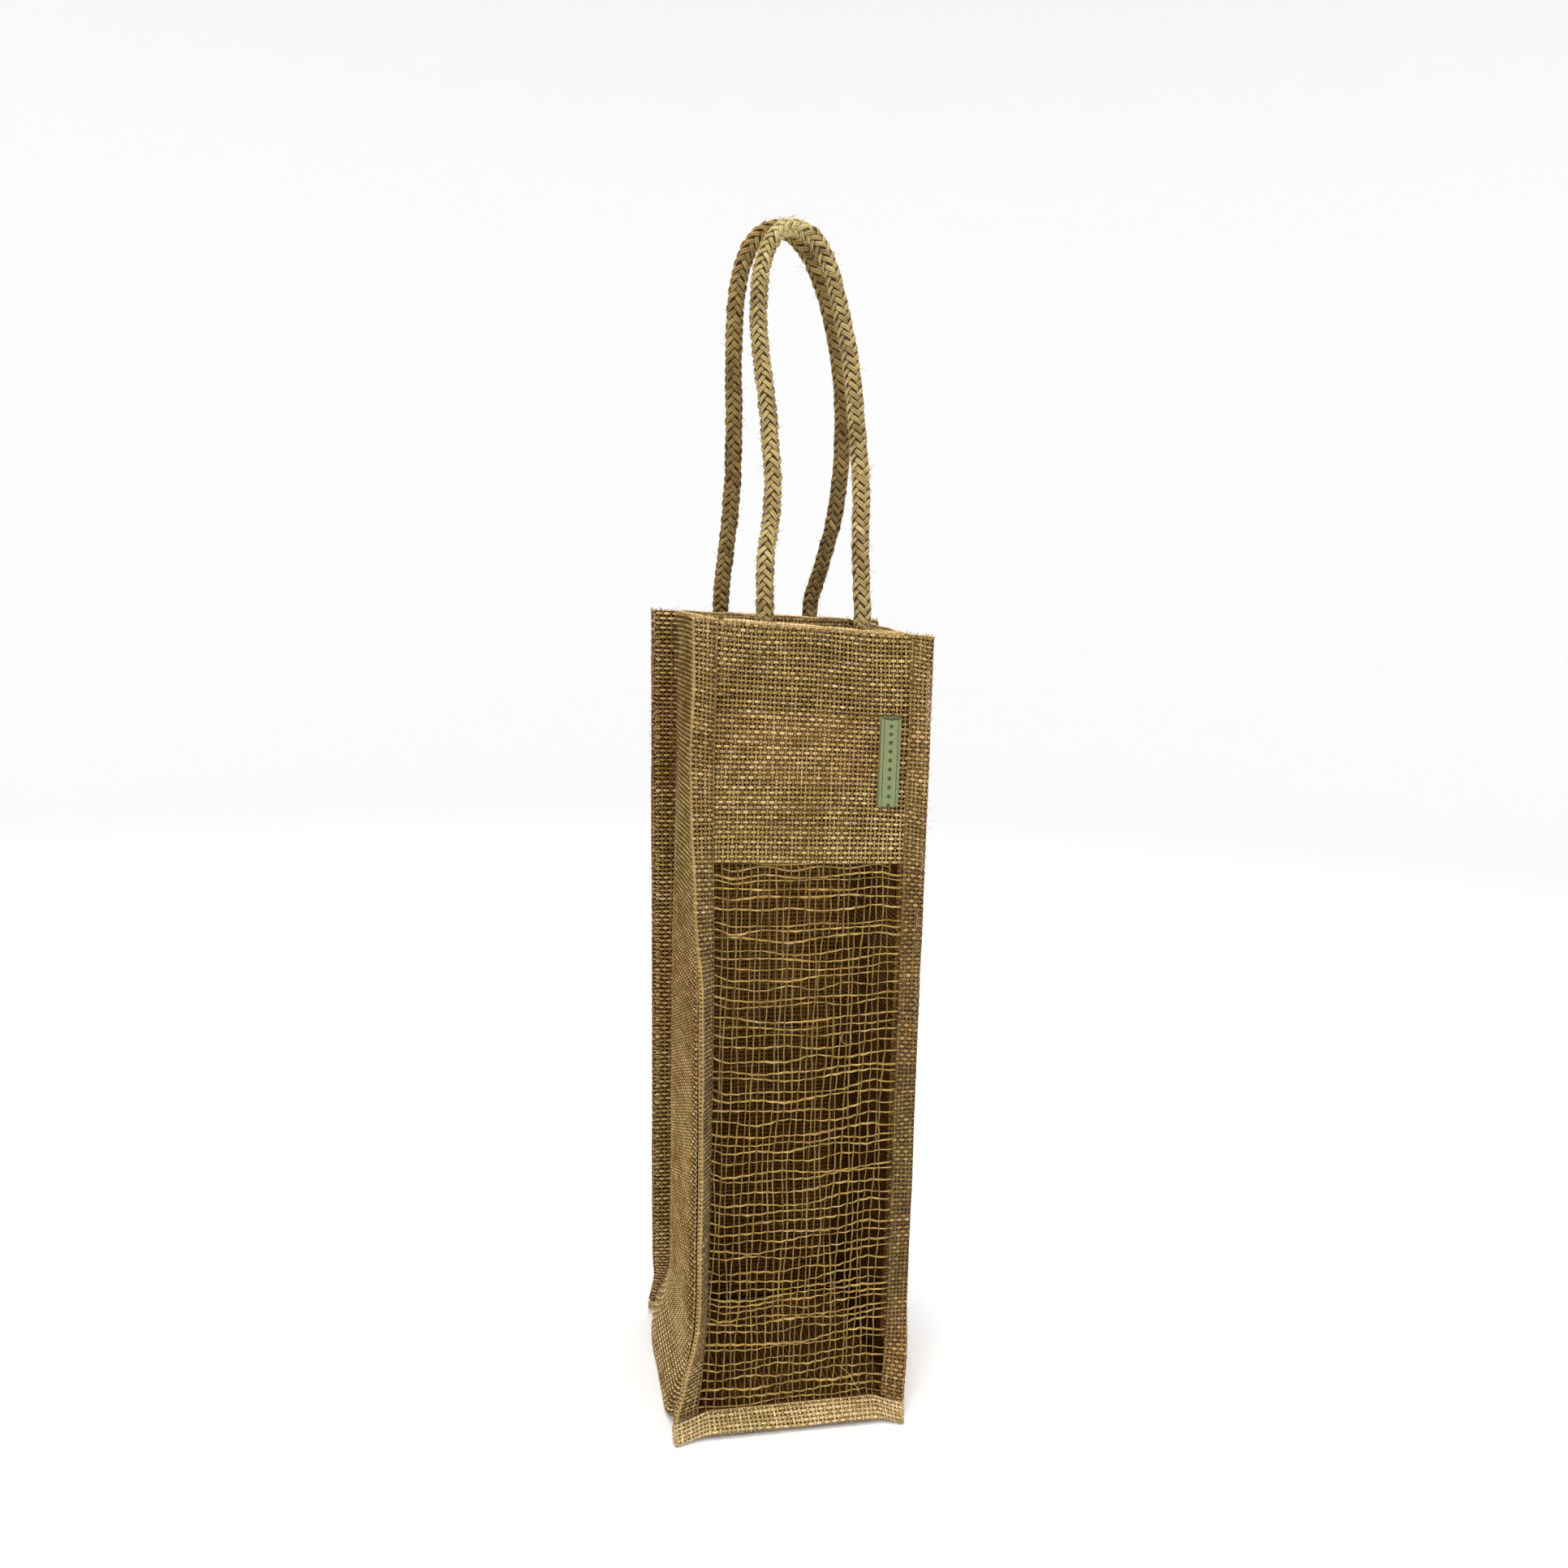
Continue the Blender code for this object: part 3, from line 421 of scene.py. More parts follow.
def ropeFinish(name, look):  # strands of two yarns: a map of strand number and length, one of the weave
    finish, tree, shader = startFinish(name, 0.75, 0.12)
    u, v, _ = readMap(tree, "threads")
    high, across, _ = readMap(tree, "rise")
    strand = u.to("FLOOR")
    tone = grainy(strand * 5.3, v * 0.11, 2.0)
    fibre = grainy(strand * 7.0 + across * 4.0, v * 0.55, 4.0, 3.0)
    place = objectPlace(tree)
    share = fibre * 0.85 + (tone * 0.95 + (noise(place, 45.0, 2.0) * 0.55 + look["lightness"]))
    across = across.to("ABSOLUTE")
    groove = 1.0 - softStep(across, 0.0, 0.22)  # between the two yarns
    under = 1.0 - softStep(high, -0.75, 0.35)
    shade = (1.0 - groove * 0.55) * (1.0 - softStep(across, 0.60, 1.0) * 0.92) * (1.0 - under * 0.86)
    colour = colourRamp(byHeight(share, place, look["zones"]), look["colours"])
    if "wornAt" in look:  # the pale rubbed place at the top of the loop
        worn = 1.0 - softStep((v - look["wornAt"]).to("ABSOLUTE"), 3.0, 8.0)
        colour = mixColours(worn * 0.65, colour, look["wornColour"])
        shade = shade.to("MAXIMUM", worn * 0.55)
    endFinish(shader, mixColours(shade, look["shadow"], colour), fibre * 0.4 + shade, 0.9, 0.0005)
    return finish


frontRope = {"lightness": -0.70, "shadow": (0.038, 0.021, 0.005), "zones": (),
             "wornColour": (0.66, 0.60, 0.27),
             "colours": ((0.12, (0.15, 0.095, 0.026)), (0.40, (0.35, 0.24, 0.080)),
                         (0.62, (0.54, 0.41, 0.155)), (0.88, (0.84, 0.70, 0.36)))}
# painted light: the back rope is lighter from 465 mm up, fully above 525 mm, at the top of its loop, and so
# darker in shade below
backRope = {"lightness": -0.75, "shadow": (0.030, 0.014, 0.004), "zones": ((0.465, 0.525, 0.12),),
            "colours": ((0.12, (0.11, 0.060, 0.010)), (0.40, (0.26, 0.160, 0.036)),
                        (0.62, (0.42, 0.28, 0.076)), (0.88, (0.74, 0.56, 0.22)))}


def ribbonFinish(look):  # satin with edge lines and a row of small diamonds, on a map in millimetres
    finish, tree, shader = startFinish("satin_ribbon", 0.38, 0.1)
    u, v, _ = readMap(tree, "threads")
    rib = (v * look["ribs"]).to("SINE")
    fromMiddle = (u - look["middle"]).to("ABSOLUTE")
    edgeLine = fromMiddle.to("COMPARE", look["lineAt"], look["lineWidth"])
    inRepeat = ((v / look["repeat"]).to("FRACT") - 0.5).to("ABSOLUTE") * look["repeat"]
    diamond = (inRepeat + fromMiddle).to("LESS_THAN", look["diamond"])
    ground = colourRamp(rib * 0.06 + grainy(u * 0.3, v * 9.0, 1.0), look["colours"])
    paint = mixColours(edgeLine.to("MAXIMUM", diamond), ground, look["ink"])
    # painted shade: the loop's back leaf, seen inside its opening, takes the dark inside colour
    paint = mixColours(readMap(tree, "rise")[0], paint, look["inside"])
    endFinish(shader, paint, rib, 0.35, 0.0001)
    return finish


print("finishes made")


def toMesh(shape, name):
    mesh = bpy.data.meshes.new(name)
    shape.to_mesh(mesh)
    shape.free()
    return mesh


def finishMesh(name, mesh, finishes, body, node=None):
    mesh.shade_smooth()
    for finish in finishes:
        mesh.materials.append(finish)
    piece = addObject(name, mesh)
    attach(piece, body)
    if node:
        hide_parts(node)
    return piece


def layGrid(name, points, places, tube=False, isOpen=False, rise=None):  # a grid, its points laid one by one
    rows, columns = points.shape[:2]
    shape = bmesh.new()
    bmesh.ops.create_grid(shape, x_segments=columns - 1, y_segments=rows - 1, size=1.0)
    if isOpen:  # between two columns and two rows of threads, each three lines wide
        gaps = []
        for face in shape.faces:
            centre = face.calc_center_median()
            column = int((centre.x + 1) / 2 * (columns - 1))
            row = int((centre.y + 1) / 2 * (rows - 1))
            if column % 3 == 2 and row % 3 == 2:
                gaps.append(face)
        bmesh.ops.delete(shape, geom=gaps, context="FACES")
    mesh = toMesh(shape, name)
    flat = np.empty(len(mesh.vertices) * 3, np.float32)
    mesh.vertices.foreach_get("co", flat)
    flat = flat.reshape(-1, 3)
    column = np.rint((flat[:, 0] + 1) / 2 * (columns - 1)).astype(int)
    row = np.rint((flat[:, 1] + 1) / 2 * (rows - 1)).astype(int)
    mesh.vertices.foreach_set("co", points[row, column].astype(np.float32).ravel())
    corners = np.empty(len(mesh.loops), np.int32)
    mesh.loops.foreach_get("vertex_index", corners)
    for key, values in (("threads", places), ("rise", rise)):
        if values is not None:
            layer = mesh.uv_layers.new(name=key)
            layer.data.foreach_set("uv", values[row, column][corners].astype(np.float32).ravel())
    if tube:  # the long edges meet, the ends are closed
        shape = bmesh.new()
        shape.from_mesh(mesh)
        bmesh.ops.remove_doubles(shape, verts=shape.verts, dist=1e-7)
        bmesh.ops.holes_fill(shape, edges=[edge for edge in shape.edges if edge.is_boundary])
        bmesh.ops.recalc_face_normals(shape, faces=shape.faces)
        shape.to_mesh(mesh)
        shape.free()
    return mesh


# one value for each thread with a slow random run along it
def threadField(threads, samples, every, steady):
    still = dice.uniform(-1, 1, threads)[None, :]
    coarse = dice.uniform(-1, 1, (samples // every + 4, threads))
    run = readAlong(coarse, np.arange(len(coarse), dtype=float), np.linspace(1, len(coarse) - 2, samples))
    return still * steady + run * (1 - steady)


def weave(net, rowKnots, columnKnots, look, isOpen):  # a cloth's points, with each thread's drift and height
    counts = [max(2, round((knots[-1] - knots[0]) / pitch))
              for knots, pitch in ((columnKnots, look["across"]), (rowKnots, look["along"]))]
    if isOpen:  # three lines for each thread
        gaps = (look["gapAcross"], look["gapAlong"])
        u, v = [(np.arange(count)[:, None] + np.array([gap / 2, 0.5, 1 - gap / 2])).ravel()
                for count, gap in zip(counts, gaps)]
    else:  # two lines for each thread, for the far sides
        u, v = [np.arange(2 * count + 1) / 2 for count in counts]
    rowPlaces = rowKnots[0] + (rowKnots[-1] - rowKnots[0]) * v / counts[1]
    columnPlaces = columnKnots[0] + (columnKnots[-1] - columnKnots[0]) * u / counts[0]
    fine = readAlong(net, rowKnots, rowPlaces)
    fine = readAlong(fine.transpose(1, 0, 2), columnKnots, columnPlaces).transpose(1, 0, 2)
    across, along = unit(np.gradient(fine, axis=1)), unit(np.gradient(fine, axis=0))
    outward = unit(np.cross(across, along))
    rows, columns = fine.shape[:2]
    if isOpen:
        roleU, roleV = [np.tile([-1, 0, 1], count) for count in counts]

        def lay(count, length, gap, role, pitch):
            shift = np.repeat(threadField(count, length, 18, 0.5), 3, axis=1) * look["uneven"]
            wide = np.repeat(threadField(count, length, 9, 0.4), 3, axis=1) * look["thick"]
            return shift + role * wide * (1 - gap) / 2 * pitch

        driftU = lay(counts[0], rows, gaps[0], roleU, look["across"])
        driftV = lay(counts[1], columns, gaps[1], roleV, look["along"]).T
        weftTop = (np.arange(columns) // 3 + np.arange(rows)[:, None] // 3) % 2 == 0
        end = np.where(weftTop, roleU, roleV[:, None]) != 0
        side = np.where(weftTop, roleV[:, None], roleU) != 0
        weftOver = np.where(side, np.where(end, -0.15, 0.10), np.where(end, 0.75, 1.0))
        warpOver = np.where(side, np.where(end, -0.45, -0.10), np.where(end, 0.30, 0.70))
        height = np.where(weftTop, weftOver, warpOver)
        swell, lump, lumpy = 40, 5, 0.25
    else:
        fields = [threadField(count + 1, length, 14, 0.5) for count, length in zip(counts, (rows, columns))]
        driftU = np.repeat(fields[0], 2, axis=1)[:, :columns] * look["uneven"]
        driftV = np.repeat(fields[1], 2, axis=1)[:, :rows].T * look["uneven"]
        onColumn, onRow = np.arange(columns) % 2 == 1, (np.arange(rows) % 2 == 1)[:, None]
        height = np.where(onColumn & onRow, 1.0, np.where(onColumn | onRow, -0.15, -1.0))
        swell, lump, lumpy = 24, 4, 0.3
    swells = (max(2, rows // swell), max(2, columns // swell))
    driftU = driftU + ripple(rows, columns, *swells) * look["wander"]
    driftV = driftV + ripple(rows, columns, *swells) * look["wander"]
    driftV = driftV + look.get("skew", 0) * (columnPlaces - columnPlaces.mean())
    height = height * (1 + lumpy * ripple(rows, columns, rows // lump, columns // lump)) * look["relief"]
    fadeU, fadeV = [np.clip(np.minimum(spot, count - spot) / 2, 0, 1) for spot, count in zip((u, v), counts)]
    moved = fine + across * (driftU * fadeU)[..., None] + along * (driftV * fadeV[:, None])[..., None]
    return moved + outward * height[..., None], np.stack(np.meshgrid(u, v), -1)


def gridMap(points, u, v):  # a map for a grid of points, from values along its rows and columns
    return np.stack(np.broadcast_arrays(u, v, points[..., 0])[:2], -1)


def addWall(piece, thickness):
    wall = piece.modifiers.new("thickness", "SOLIDIFY")
    wall.thickness = thickness
    wall.offset = 0
    return wall


def makeCloth(name, net, rowKnots, columnKnots, look, finish, node, isOpen=True, lengths=None):
    points, places = weave(net, rowKnots, columnKnots, look, isOpen)
    finishes = [finish] + ([look["inside"]] if "inside" in look else [])
    width, height = columnKnots[-1] - columnKnots[0], rowKnots[-1] - rowKnots[0]
    for part, (start, end) in (lengths or {name: (0, 1)}).items():  # a long cloth is laid in lengths
        first, last = round(start * (len(points) - 1)), round(end * (len(points) - 1)) + 1
        laid, rise = places[first:last], None
        if "foldAt" in look:  # how near each point lies to the fold
            fromFold = columnKnots[0] + width * laid[..., 0] / laid[..., 0].max() - look["foldAt"]
            rise = np.repeat(np.exp(-(fromFold / look["foldHalf"]) ** 2)[..., None], 2, axis=-1)
        mesh = layGrid(part, points[first:last], laid, isOpen=isOpen, rise=rise)
        piece = finishMesh(part, mesh, finishes, "bag", node)
        addWall(piece, look["wall"]).material_offset = len(finishes) - 1
        (end - start) * height


weft = {"across": 0.00185, "along": 0.00212, "relief": 0.00028, "uneven": 0.00016, "wander": 0.0006,
        "thick": 0.28, "gapAcross": 0.57, "gapAlong": 0.46, "wall": 0.00042, "held": "stretched",
        "slot": "jute_cloth"}
farCloth = {**weft, "relief": 0.00034, "wall": 0.0005, "inside": innerFinish}


def panelNet(face, layer, lowest, highest):
    fin = halfWidth + np.array([0, 0.25, 0.5, 1, 1.5]) * bag["bend"]
    fin = fin[fin < halfWidth + panelEdge - 0.001]
    edge = halfWidth - bag["bend"] / 2 * np.array([2, 1, 0.5])
    outer = np.concatenate([edge, fin, [halfWidth + panelEdge]])
    columns = np.concatenate([-outer[::-1], np.linspace(-0.034, 0.034, 9), outer])
    if lowest < bag["lift"]:
        low = bag["lift"] - np.array([1, 0.7, 0.4, 0.2, 0.1, 0, -0.1, -0.25]) * panelEdge
        rows = np.concatenate([low, np.arange(0.0145, highest - 0.003, 0.006), [highest]])
    else:
        rows = np.linspace(lowest, highest, 24)
    return onCloth(face, *np.meshgrid(columns, rows), layer), rows, columns


net, rows, columns = panelNet(front, panelLayer, bag["windowTop"], rimHeight)
fromSeam = (rows - (rimHeight - bag["hem"] + bag["dipAbove"])) / bag["dipHalf"]
net[..., 1] += (bag["dip"] * np.exp(-fromSeam ** 2))[:, None]  # sewn down there
makeCloth("front_upper_cloth", net, rows, columns, weft, openFinish, "front_upper_panel")
net, rows, columns = panelNet(back, panelLayer, 0.0, rimHeight)
backLook = {**farCloth, "inside": clothFinish}  # its grid faces inward, so the two finishes change places
makeCloth("back_cloth", net, rows, columns, backLook, innerFinish, "back_panel", isOpen=False)
print("panels made")


def stripNet():  # the strip that makes both sides and the base
    upright = np.linspace(rimHeight, 0.046, 44)
    heights = np.concatenate([upright, np.linspace(0.042, bag["lift"] + bag["corner"], 9)])
    base = np.concatenate([[-0.985], np.linspace(-1, 1, 25)[1:-1], [0.985]]) * (halfWidth - bag["corner"])
    outside = {side: halfWidth - stripLayer + flare - bag["fold"] for side, flare in bag["flares"].items()}

    def sideRun(side):  # side, seam's place and way out, share round the corner, and the middle's place
        run = []
        for z in heights:
            low = float(ease(1 - (z - bag["lift"]) / (bag["flareTop"] - bag["lift"])))
            body = bag["bulge"] * float(ease(2 * (1 - z / rimHeight)))
            out = mix(body, bag["flares"][side], low)
            run.append((side, side * halfWidth, z, side, 0, 0, side * (halfWidth - stripLayer + out),
                        z - low * (bag["lift"] - bag["fold"])))
        for step in range(1, 7):
            angle = math.pi / 2 * step / 6
            goX, goZ = side * math.cos(angle), -math.sin(angle)
            run.append((side, side * (halfWidth - bag["corner"]) + goX * bag["corner"],
                        bag["lift"] + bag["corner"] + goZ * bag["corner"], goX, goZ, step / 6,
                        side * outside[side] + goX * bag["fold"],
                        bag["fold"] + bag["cloth"] / 2 + goZ * bag["fold"]))
        return run

    stations = sideRun(left)
    start = stations[-1][6]
    for x in base:
        share = x / (2 * (halfWidth - bag["corner"])) + 0.5
        stations.append((left if x < 0 else right, x, bag["lift"], 0, -1, 1,
                         mix(start, outside[right], share), bag["cloth"] / 2))
    stations += sideRun(right)[::-1]
    side, seamX, seamZ, goX, goZ, around, midX, midZ = np.array(stations, float).T
    edges = {}
    for face in (front, back):
        turn = finTurn(face, side, seamZ, around)
        startOut, startForward, _ = bendOut(turn, bag["bend"] / 2)
        low = ease(1 - (seamZ - bag["lift"]) / (bag["flareTop"] - bag["lift"]))
        free = bag["freeFlange"] * low * (1 - ease(around))  # the flared part leaves its flange early
        toWeb = (-stripLayer * (1 - np.sin(turn)) - startOut) / np.cos(turn)
        notch = bag["notch"] * np.sin(math.pi * around)
        toEdge = (bag["fin"] - bag["rawInset"]) * (1 - notch) - bag["bend"] / 2
        edges[face] = []
        for share in (1.0, 0.5, 0.0):
            reach = mix(toWeb, toEdge, mix(share, 1.0, free))
            outward = startOut + reach * np.cos(turn) - stripLayer * np.sin(turn)
            forward = startForward + reach * np.sin(turn) + stripLayer * np.cos(turn)
            edges[face].append((seamX + goX * outward, face * (halfDepth + forward), seamZ + goZ * outward))
    section = list(edges[front])
    shares = [bag["webEdge"] * part for part in (0.12, 0.25, 0.42, 0.6, 0.8, 1.0)]
    for share in shares + [0.5] + [1 - share for share in reversed(shares)]:
        near, reach = (front, bag["frontEdge"]) if share < 0.5 else (back, bag["webEdge"])
        full = math.sin(math.pi / 2 * min(min(share, 1 - share) / reach, 1))
        x, _, z = edges[near][-1]
        y = mix(edges[front][-1][1], edges[back][-1][1], share)
        section.append((mix(x, midX, full), y, mix(z, midZ, full)))
    section += reversed(edges[back])
    return stand(np.stack([np.stack(point, -1) for point in section], 1))


strip = stripNet()
rows, columns = lengthsOf(strip[:, strip.shape[1] // 2]), lengthsOf(strip[10])
sidePart = rimHeight / rows[-1]
lengths = {"gusset_left": (0, sidePart), "gusset_base": (sidePart, 1 - sidePart),
           "gusset_right": (1 - sidePart, 1)}
makeCloth("gusset", strip, rows, columns, {**farCloth, "relief": 0.00046}, gussetFinish, "gusset_strip",
          isOpen=False, lengths=lengths)
print("strip made")

# bindings folded round the fins
binding = {**weft, "along": 0.0019, "across": 0.0019, "relief": 0.00026, "wall": 0.0004, "gapAcross": 0.46,
           "gapAlong": 0.34, "held": "folded", "slot": "jute_binding"}
bottomBinding = {**binding, "gapAcross": 0.54, "gapAlong": 0.44}


def bindingProfile():  # distance from the seam and layer, from the front leaf round to the back one
    radius = leafLayer / 2
    middle = bag["fin"] - radius - bag["binding"] / 2
    leaf = np.linspace(bag["bend"] / 2, middle - 0.0004, 5)
    angles = [math.pi / 2 - math.pi * step / 6 for step in range(7)]
    fold = [(middle + radius * math.cos(angle), radius + radius * math.sin(angle)) for angle in angles]
    return np.array([(distance, leafLayer) for distance in leaf] + fold
                    + [(distance, 0.0) for distance in leaf[::-1]])


profile = bindingProfile()
around = lengthsOf(profile)
for face in (front, back):
    for side in (left, right):
        low = bag["lift"] - bag["bend"] / 2 + bag["gap"]
        rows = np.concatenate([[low, bag["lift"]], np.linspace(bag["lift"] + bag["corner"], 0.045, 9),
                               np.linspace(0.051, rimHeight, 52)])
        grid = np.meshgrid(side * (halfWidth + profile[:, 0]), rows)
        net = onCloth(face, *grid, profile[:, 1][None, :])
        name = faceNames[face] + "_" + sideNames[side] + "_binding"
        look = {**binding, "skew": 0.07 * side * face}
        finish = darkBindingFinish
        if (face, side) == (front, left):
            look.update(foldAt=around[-1] / 2, foldHalf=0.0009)
            finish = bindingFinish
        elif (face, side) == (front, right):
            finish = rightBindingFinish
        makeCloth(name + "_cloth", net, rows, around, look, finish, name)
    ends = np.array([0.1, 0.25, 0.5, 0.75, 1]) * bag["fin"]
    middle = np.linspace(-halfWidth, halfWidth, 27)
    columns = np.concatenate([-halfWidth - ends[::-1], middle, halfWidth + ends])
    grid = np.meshgrid(columns, bag["lift"] - profile[:, 0])
    net = onCloth(face, *grid, profile[:, 1][:, None])
    name = faceNames[face] + "_bottom_binding"
    makeCloth(name + "_cloth", net, around, columns, bottomBinding, bottomFinish, name)
print("bindings made")

# handles, with routes in millimetres: across, and above the rim, from the left leg to the right one
rope = {
    "diameter": 0.008, "rise": 0.166, "topOffset": 0.0043, "rootGap": 0.0003, "straight": 0.003,
    "tail": 0.035, "tailSlim": 0.88, "pairs": 6, "lay": 0.0222, "strandRadius": 0.00280, "lift": 0.00056,
    "strandHalf": (0.00114, 0.00066), "sides": 10, "step": 0.00085, "core": 0.0026, "coreSides": 8,
    "below": 0.003, "uneven": 0.00026, "stray": 0.13, "mapStep": 0.0015, "hairs": 420, "hair": 0.00023,
    "hairFrom": 0.0034, "hairLengths": (0.0009, 0.0034), "frayedHairs": (90, 80), "fray": 1.9,
    "frayedAt": 0.421,
    "routes": {
        front: (
            (-20.0, 0.3), (-20.2, 8.0), (-19.4, 28.0), (-17.0, 40.0), (-15.6, 55.0), (-16.3, 72.0),
            (-17.4, 89.0), (-19.2, 106.0), (-20.6, 123.0), (-20.2, 137.0), (-18.4, 149.0), (-14.9, 158.5),
            (-10.6, 164.0), (-5.8, 166.0), (-0.6, 165.0), (4.2, 162.0), (7.8, 157.0), (10.9, 150.0),
            (13.4, 141.0), (16.0, 129.0), (18.7, 115.0), (20.2, 101.0), (21.4, 84.0), (22.4, 67.0),
            (22.8, 53.0), (22.0, 39.0), (21.4, 26.0), (21.8, 9.0), (22.0, 0.3)),
        back: (
            (-24.1, 0.3), (-24.1, 9.0), (-23.5, 23.0), (-22.8, 39.0), (-22.5, 58.0), (-23.1, 79.0),
            (-24.6, 100.0), (-26.0, 120.0), (-26.1, 134.0), (-25.3, 145.0), (-23.4, 154.0), (-20.2, 160.5),
            (-15.6, 165.0), (-10.5, 166.8), (-5.0, 165.6), (1.0, 161.5), (6.9, 154.5), (12.4, 144.5),
            (17.4, 132.0), (22.0, 116.5), (25.5, 99.5), (27.4, 82.0), (27.9, 64.0), (27.0, 46.0),
            (24.6, 30.0), (21.6, 16.0), (19.6, 8.0), (19.3, 0.3)),
    },
}
ropeLayer = panelLayer - bag["cloth"] / 2 - bag["gap"] - rope["diameter"] / 2
routes = {face: np.array(route) / 1000 for face, route in rope["routes"].items()}
legs = {face: {left: route[0, 0], right: route[-1, 0]} for face, route in routes.items()}


def ropeLine(face):  # the middle line of a free loop, evenly spaced
    route = routes[face]
    lean = np.clip((route[:, 1] - rope["rootGap"]) / (rope["rise"] - rope["rootGap"]), 0, 1)
    eased = mix(lean * lean, lean, np.minimum(lean * 4, 1))
    y = face * mix(halfDepth + ropeLayer, rope["topOffset"], eased)
    points = np.stack([route[:, 0], y, rimHeight + route[:, 1]], -1)
    straight, below = (np.array([0, 0, rope[key]]) for key in ("straight", "below"))
    knots = np.concatenate([[points[0] + straight], points[1:-1], [points[-1] + straight]])
    dense = readAlong(knots, np.arange(len(knots), dtype=float), np.linspace(0, len(knots) - 1, 900))
    ends = [points[0] - below, points[0]], [points[-1], points[-1] - below]
    return evenly(np.concatenate([ends[0], dense, ends[1]]), rope["step"])


def braidMesh(name, line, face, domes, slim=1.0):  # strands, each over two and under two, round a core
    ahead = unit(np.gradient(line, axis=0))
    plane = np.array([0, 1.0, 0.25 * face])
    first = unit(plane - ahead * (ahead @ plane)[:, None])
    second = np.cross(ahead, first)
    run = lengthsOf(line)
    full = np.full(len(run), slim)
    for dome, fromEnd in zip(domes, (run, run[-1] - run)):  # the rope rounds off to its end
        if dome:
            full = full * np.sqrt(1 - np.clip(1 - fromEnd / dome, 0, 0.999) ** 2)
    turn = 2 * math.pi * run / rope["lay"]
    crossing = 2 * rope["pairs"] * run / rope["lay"]
    joined = bmesh.new()

    def join(points, places, rise):
        mesh = layGrid(name, points, places, tube=True, rise=rise)
        joined.from_mesh(mesh)
        bpy.data.meshes.remove(mesh)

    ring = np.linspace(0, 2 * math.pi, rope["sides"] + 1)
    flat, tall = (full[:, None] * half * wave for half, wave in
                  zip(rope["strandHalf"], (np.cos(ring), np.sin(ring))))
    number = 0
    for way in (1, -1):
        for strand in range(rope["pairs"]):
            spin = way * turn + 2 * math.pi * strand / rope["pairs"]
            spin = spin + rope["stray"] * sway(len(run), max(2, len(run) // 9))
            wave = way * np.cos(math.pi / 2 * (2 * strand + way * crossing - 0.5))
            outward = first * np.cos(spin)[:, None] + second * np.sin(spin)[:, None]
            swell = sway(len(run), max(2, len(run) // 16))
            radius = (rope["strandRadius"] + rope["lift"] * wave + rope["uneven"] * swell) * full
            middle = line + outward * radius[:, None]
            wide = np.cross(unit(np.gradient(middle, axis=0)), outward)
            points = middle[:, None] + wide[:, None] * flat[..., None] + outward[:, None] * tall[..., None]
            u = number + (ring / (2 * math.pi) * 0.96 + 0.02)
            places = gridMap(points, u, (run / rope["mapStep"])[:, None])
            join(points, places, gridMap(points, wave[:, None], np.cos(ring)))
            number += 1
    # painted shade: the core's map marks it as lying under every strand, so it takes the near-black shadow
    # colour where it shows between them
    ring = np.linspace(0, 2 * math.pi, rope["coreSides"] + 1)
    spoke = first[::3][:, None] * np.cos(ring)[:, None] + second[::3][:, None] * np.sin(ring)[:, None]
    core = line[::3][:, None] + rope["core"] * full[::3, None, None] * spoke
    flatMap = np.full(core.shape[:2] + (2,), number + 0.5)
    join(core, flatMap, np.full_like(flatMap, -1.0))
    return toMesh(joined, name)


def makeYarns(name, lines, thickness, finish, body="bag", node=None, bevels=0, radii=None):
    curve = bpy.data.curves.new(name, "CURVE")
    curve.dimensions = "3D"
    curve.bevel_depth = thickness / 2
    curve.bevel_resolution = bevels
    curve.use_fill_caps = True
    for number, line in enumerate(lines):
        spline = curve.splines.new("POLY")
        spline.points.add(len(line) - 1)
        spline.points.foreach_set("co", np.c_[line, np.ones(len(line))].astype(np.float32).ravel())
        if radii is not None:
            spline.points.foreach_set("radius", np.asarray(radii[number], np.float32))
    holder = addObject(name + "_curve", curve)
    graph = bpy.context.evaluated_depsgraph_get()
    mesh = bpy.data.meshes.new_from_object(holder.evaluated_get(graph))
    mesh.name = name
    bpy.data.objects.remove(holder)
    mesh.materials.clear()
    return finishMesh(name, mesh, [finish], body, node)


def taper(lines, tip=0.35):
    return [np.linspace(1, tip, len(line)) for line in lines]


def ropeHairs(line, count, near=None):  # short fibres that stand off a rope
    ahead = unit(np.gradient(line, axis=0))
    share = np.linspace(0, 1, 4)[:, None]
    lines = []
    for _ in range(count):
        spot = dice.integers(8, len(line) - 8)
        if near is not None:
            spot = int(np.clip(near + dice.normal(0, 3), 8, len(line) - 8))
        out = unit(np.cross(ahead[spot], dice.normal(0, 1, 3)))
        way = unit(out * 0.6 + ahead[spot] * dice.choice([-1, 1]) * 0.8 + dice.normal(0, 0.25, 3))
        bend = unit(dice.normal(0, 1, 3))
        length = dice.uniform(*rope["hairLengths"])
        root = line[spot] + out * rope["hairFrom"]
        lines.append(root + way * length * share + bend * length * 0.4 * share ** 2)
    return lines


ropeLines = {face: ropeLine(face) for face in (front, back)}
wornSpot = np.argmax(ropeLines[front][:, 2]) - 3
frontRope["wornAt"] = float(lengthsOf(ropeLines[front])[wornSpot] / rope["mapStep"])
ropeFinishes = {front: ropeFinish("front_rope", frontRope), back: ropeFinish("back_rope", backRope)}

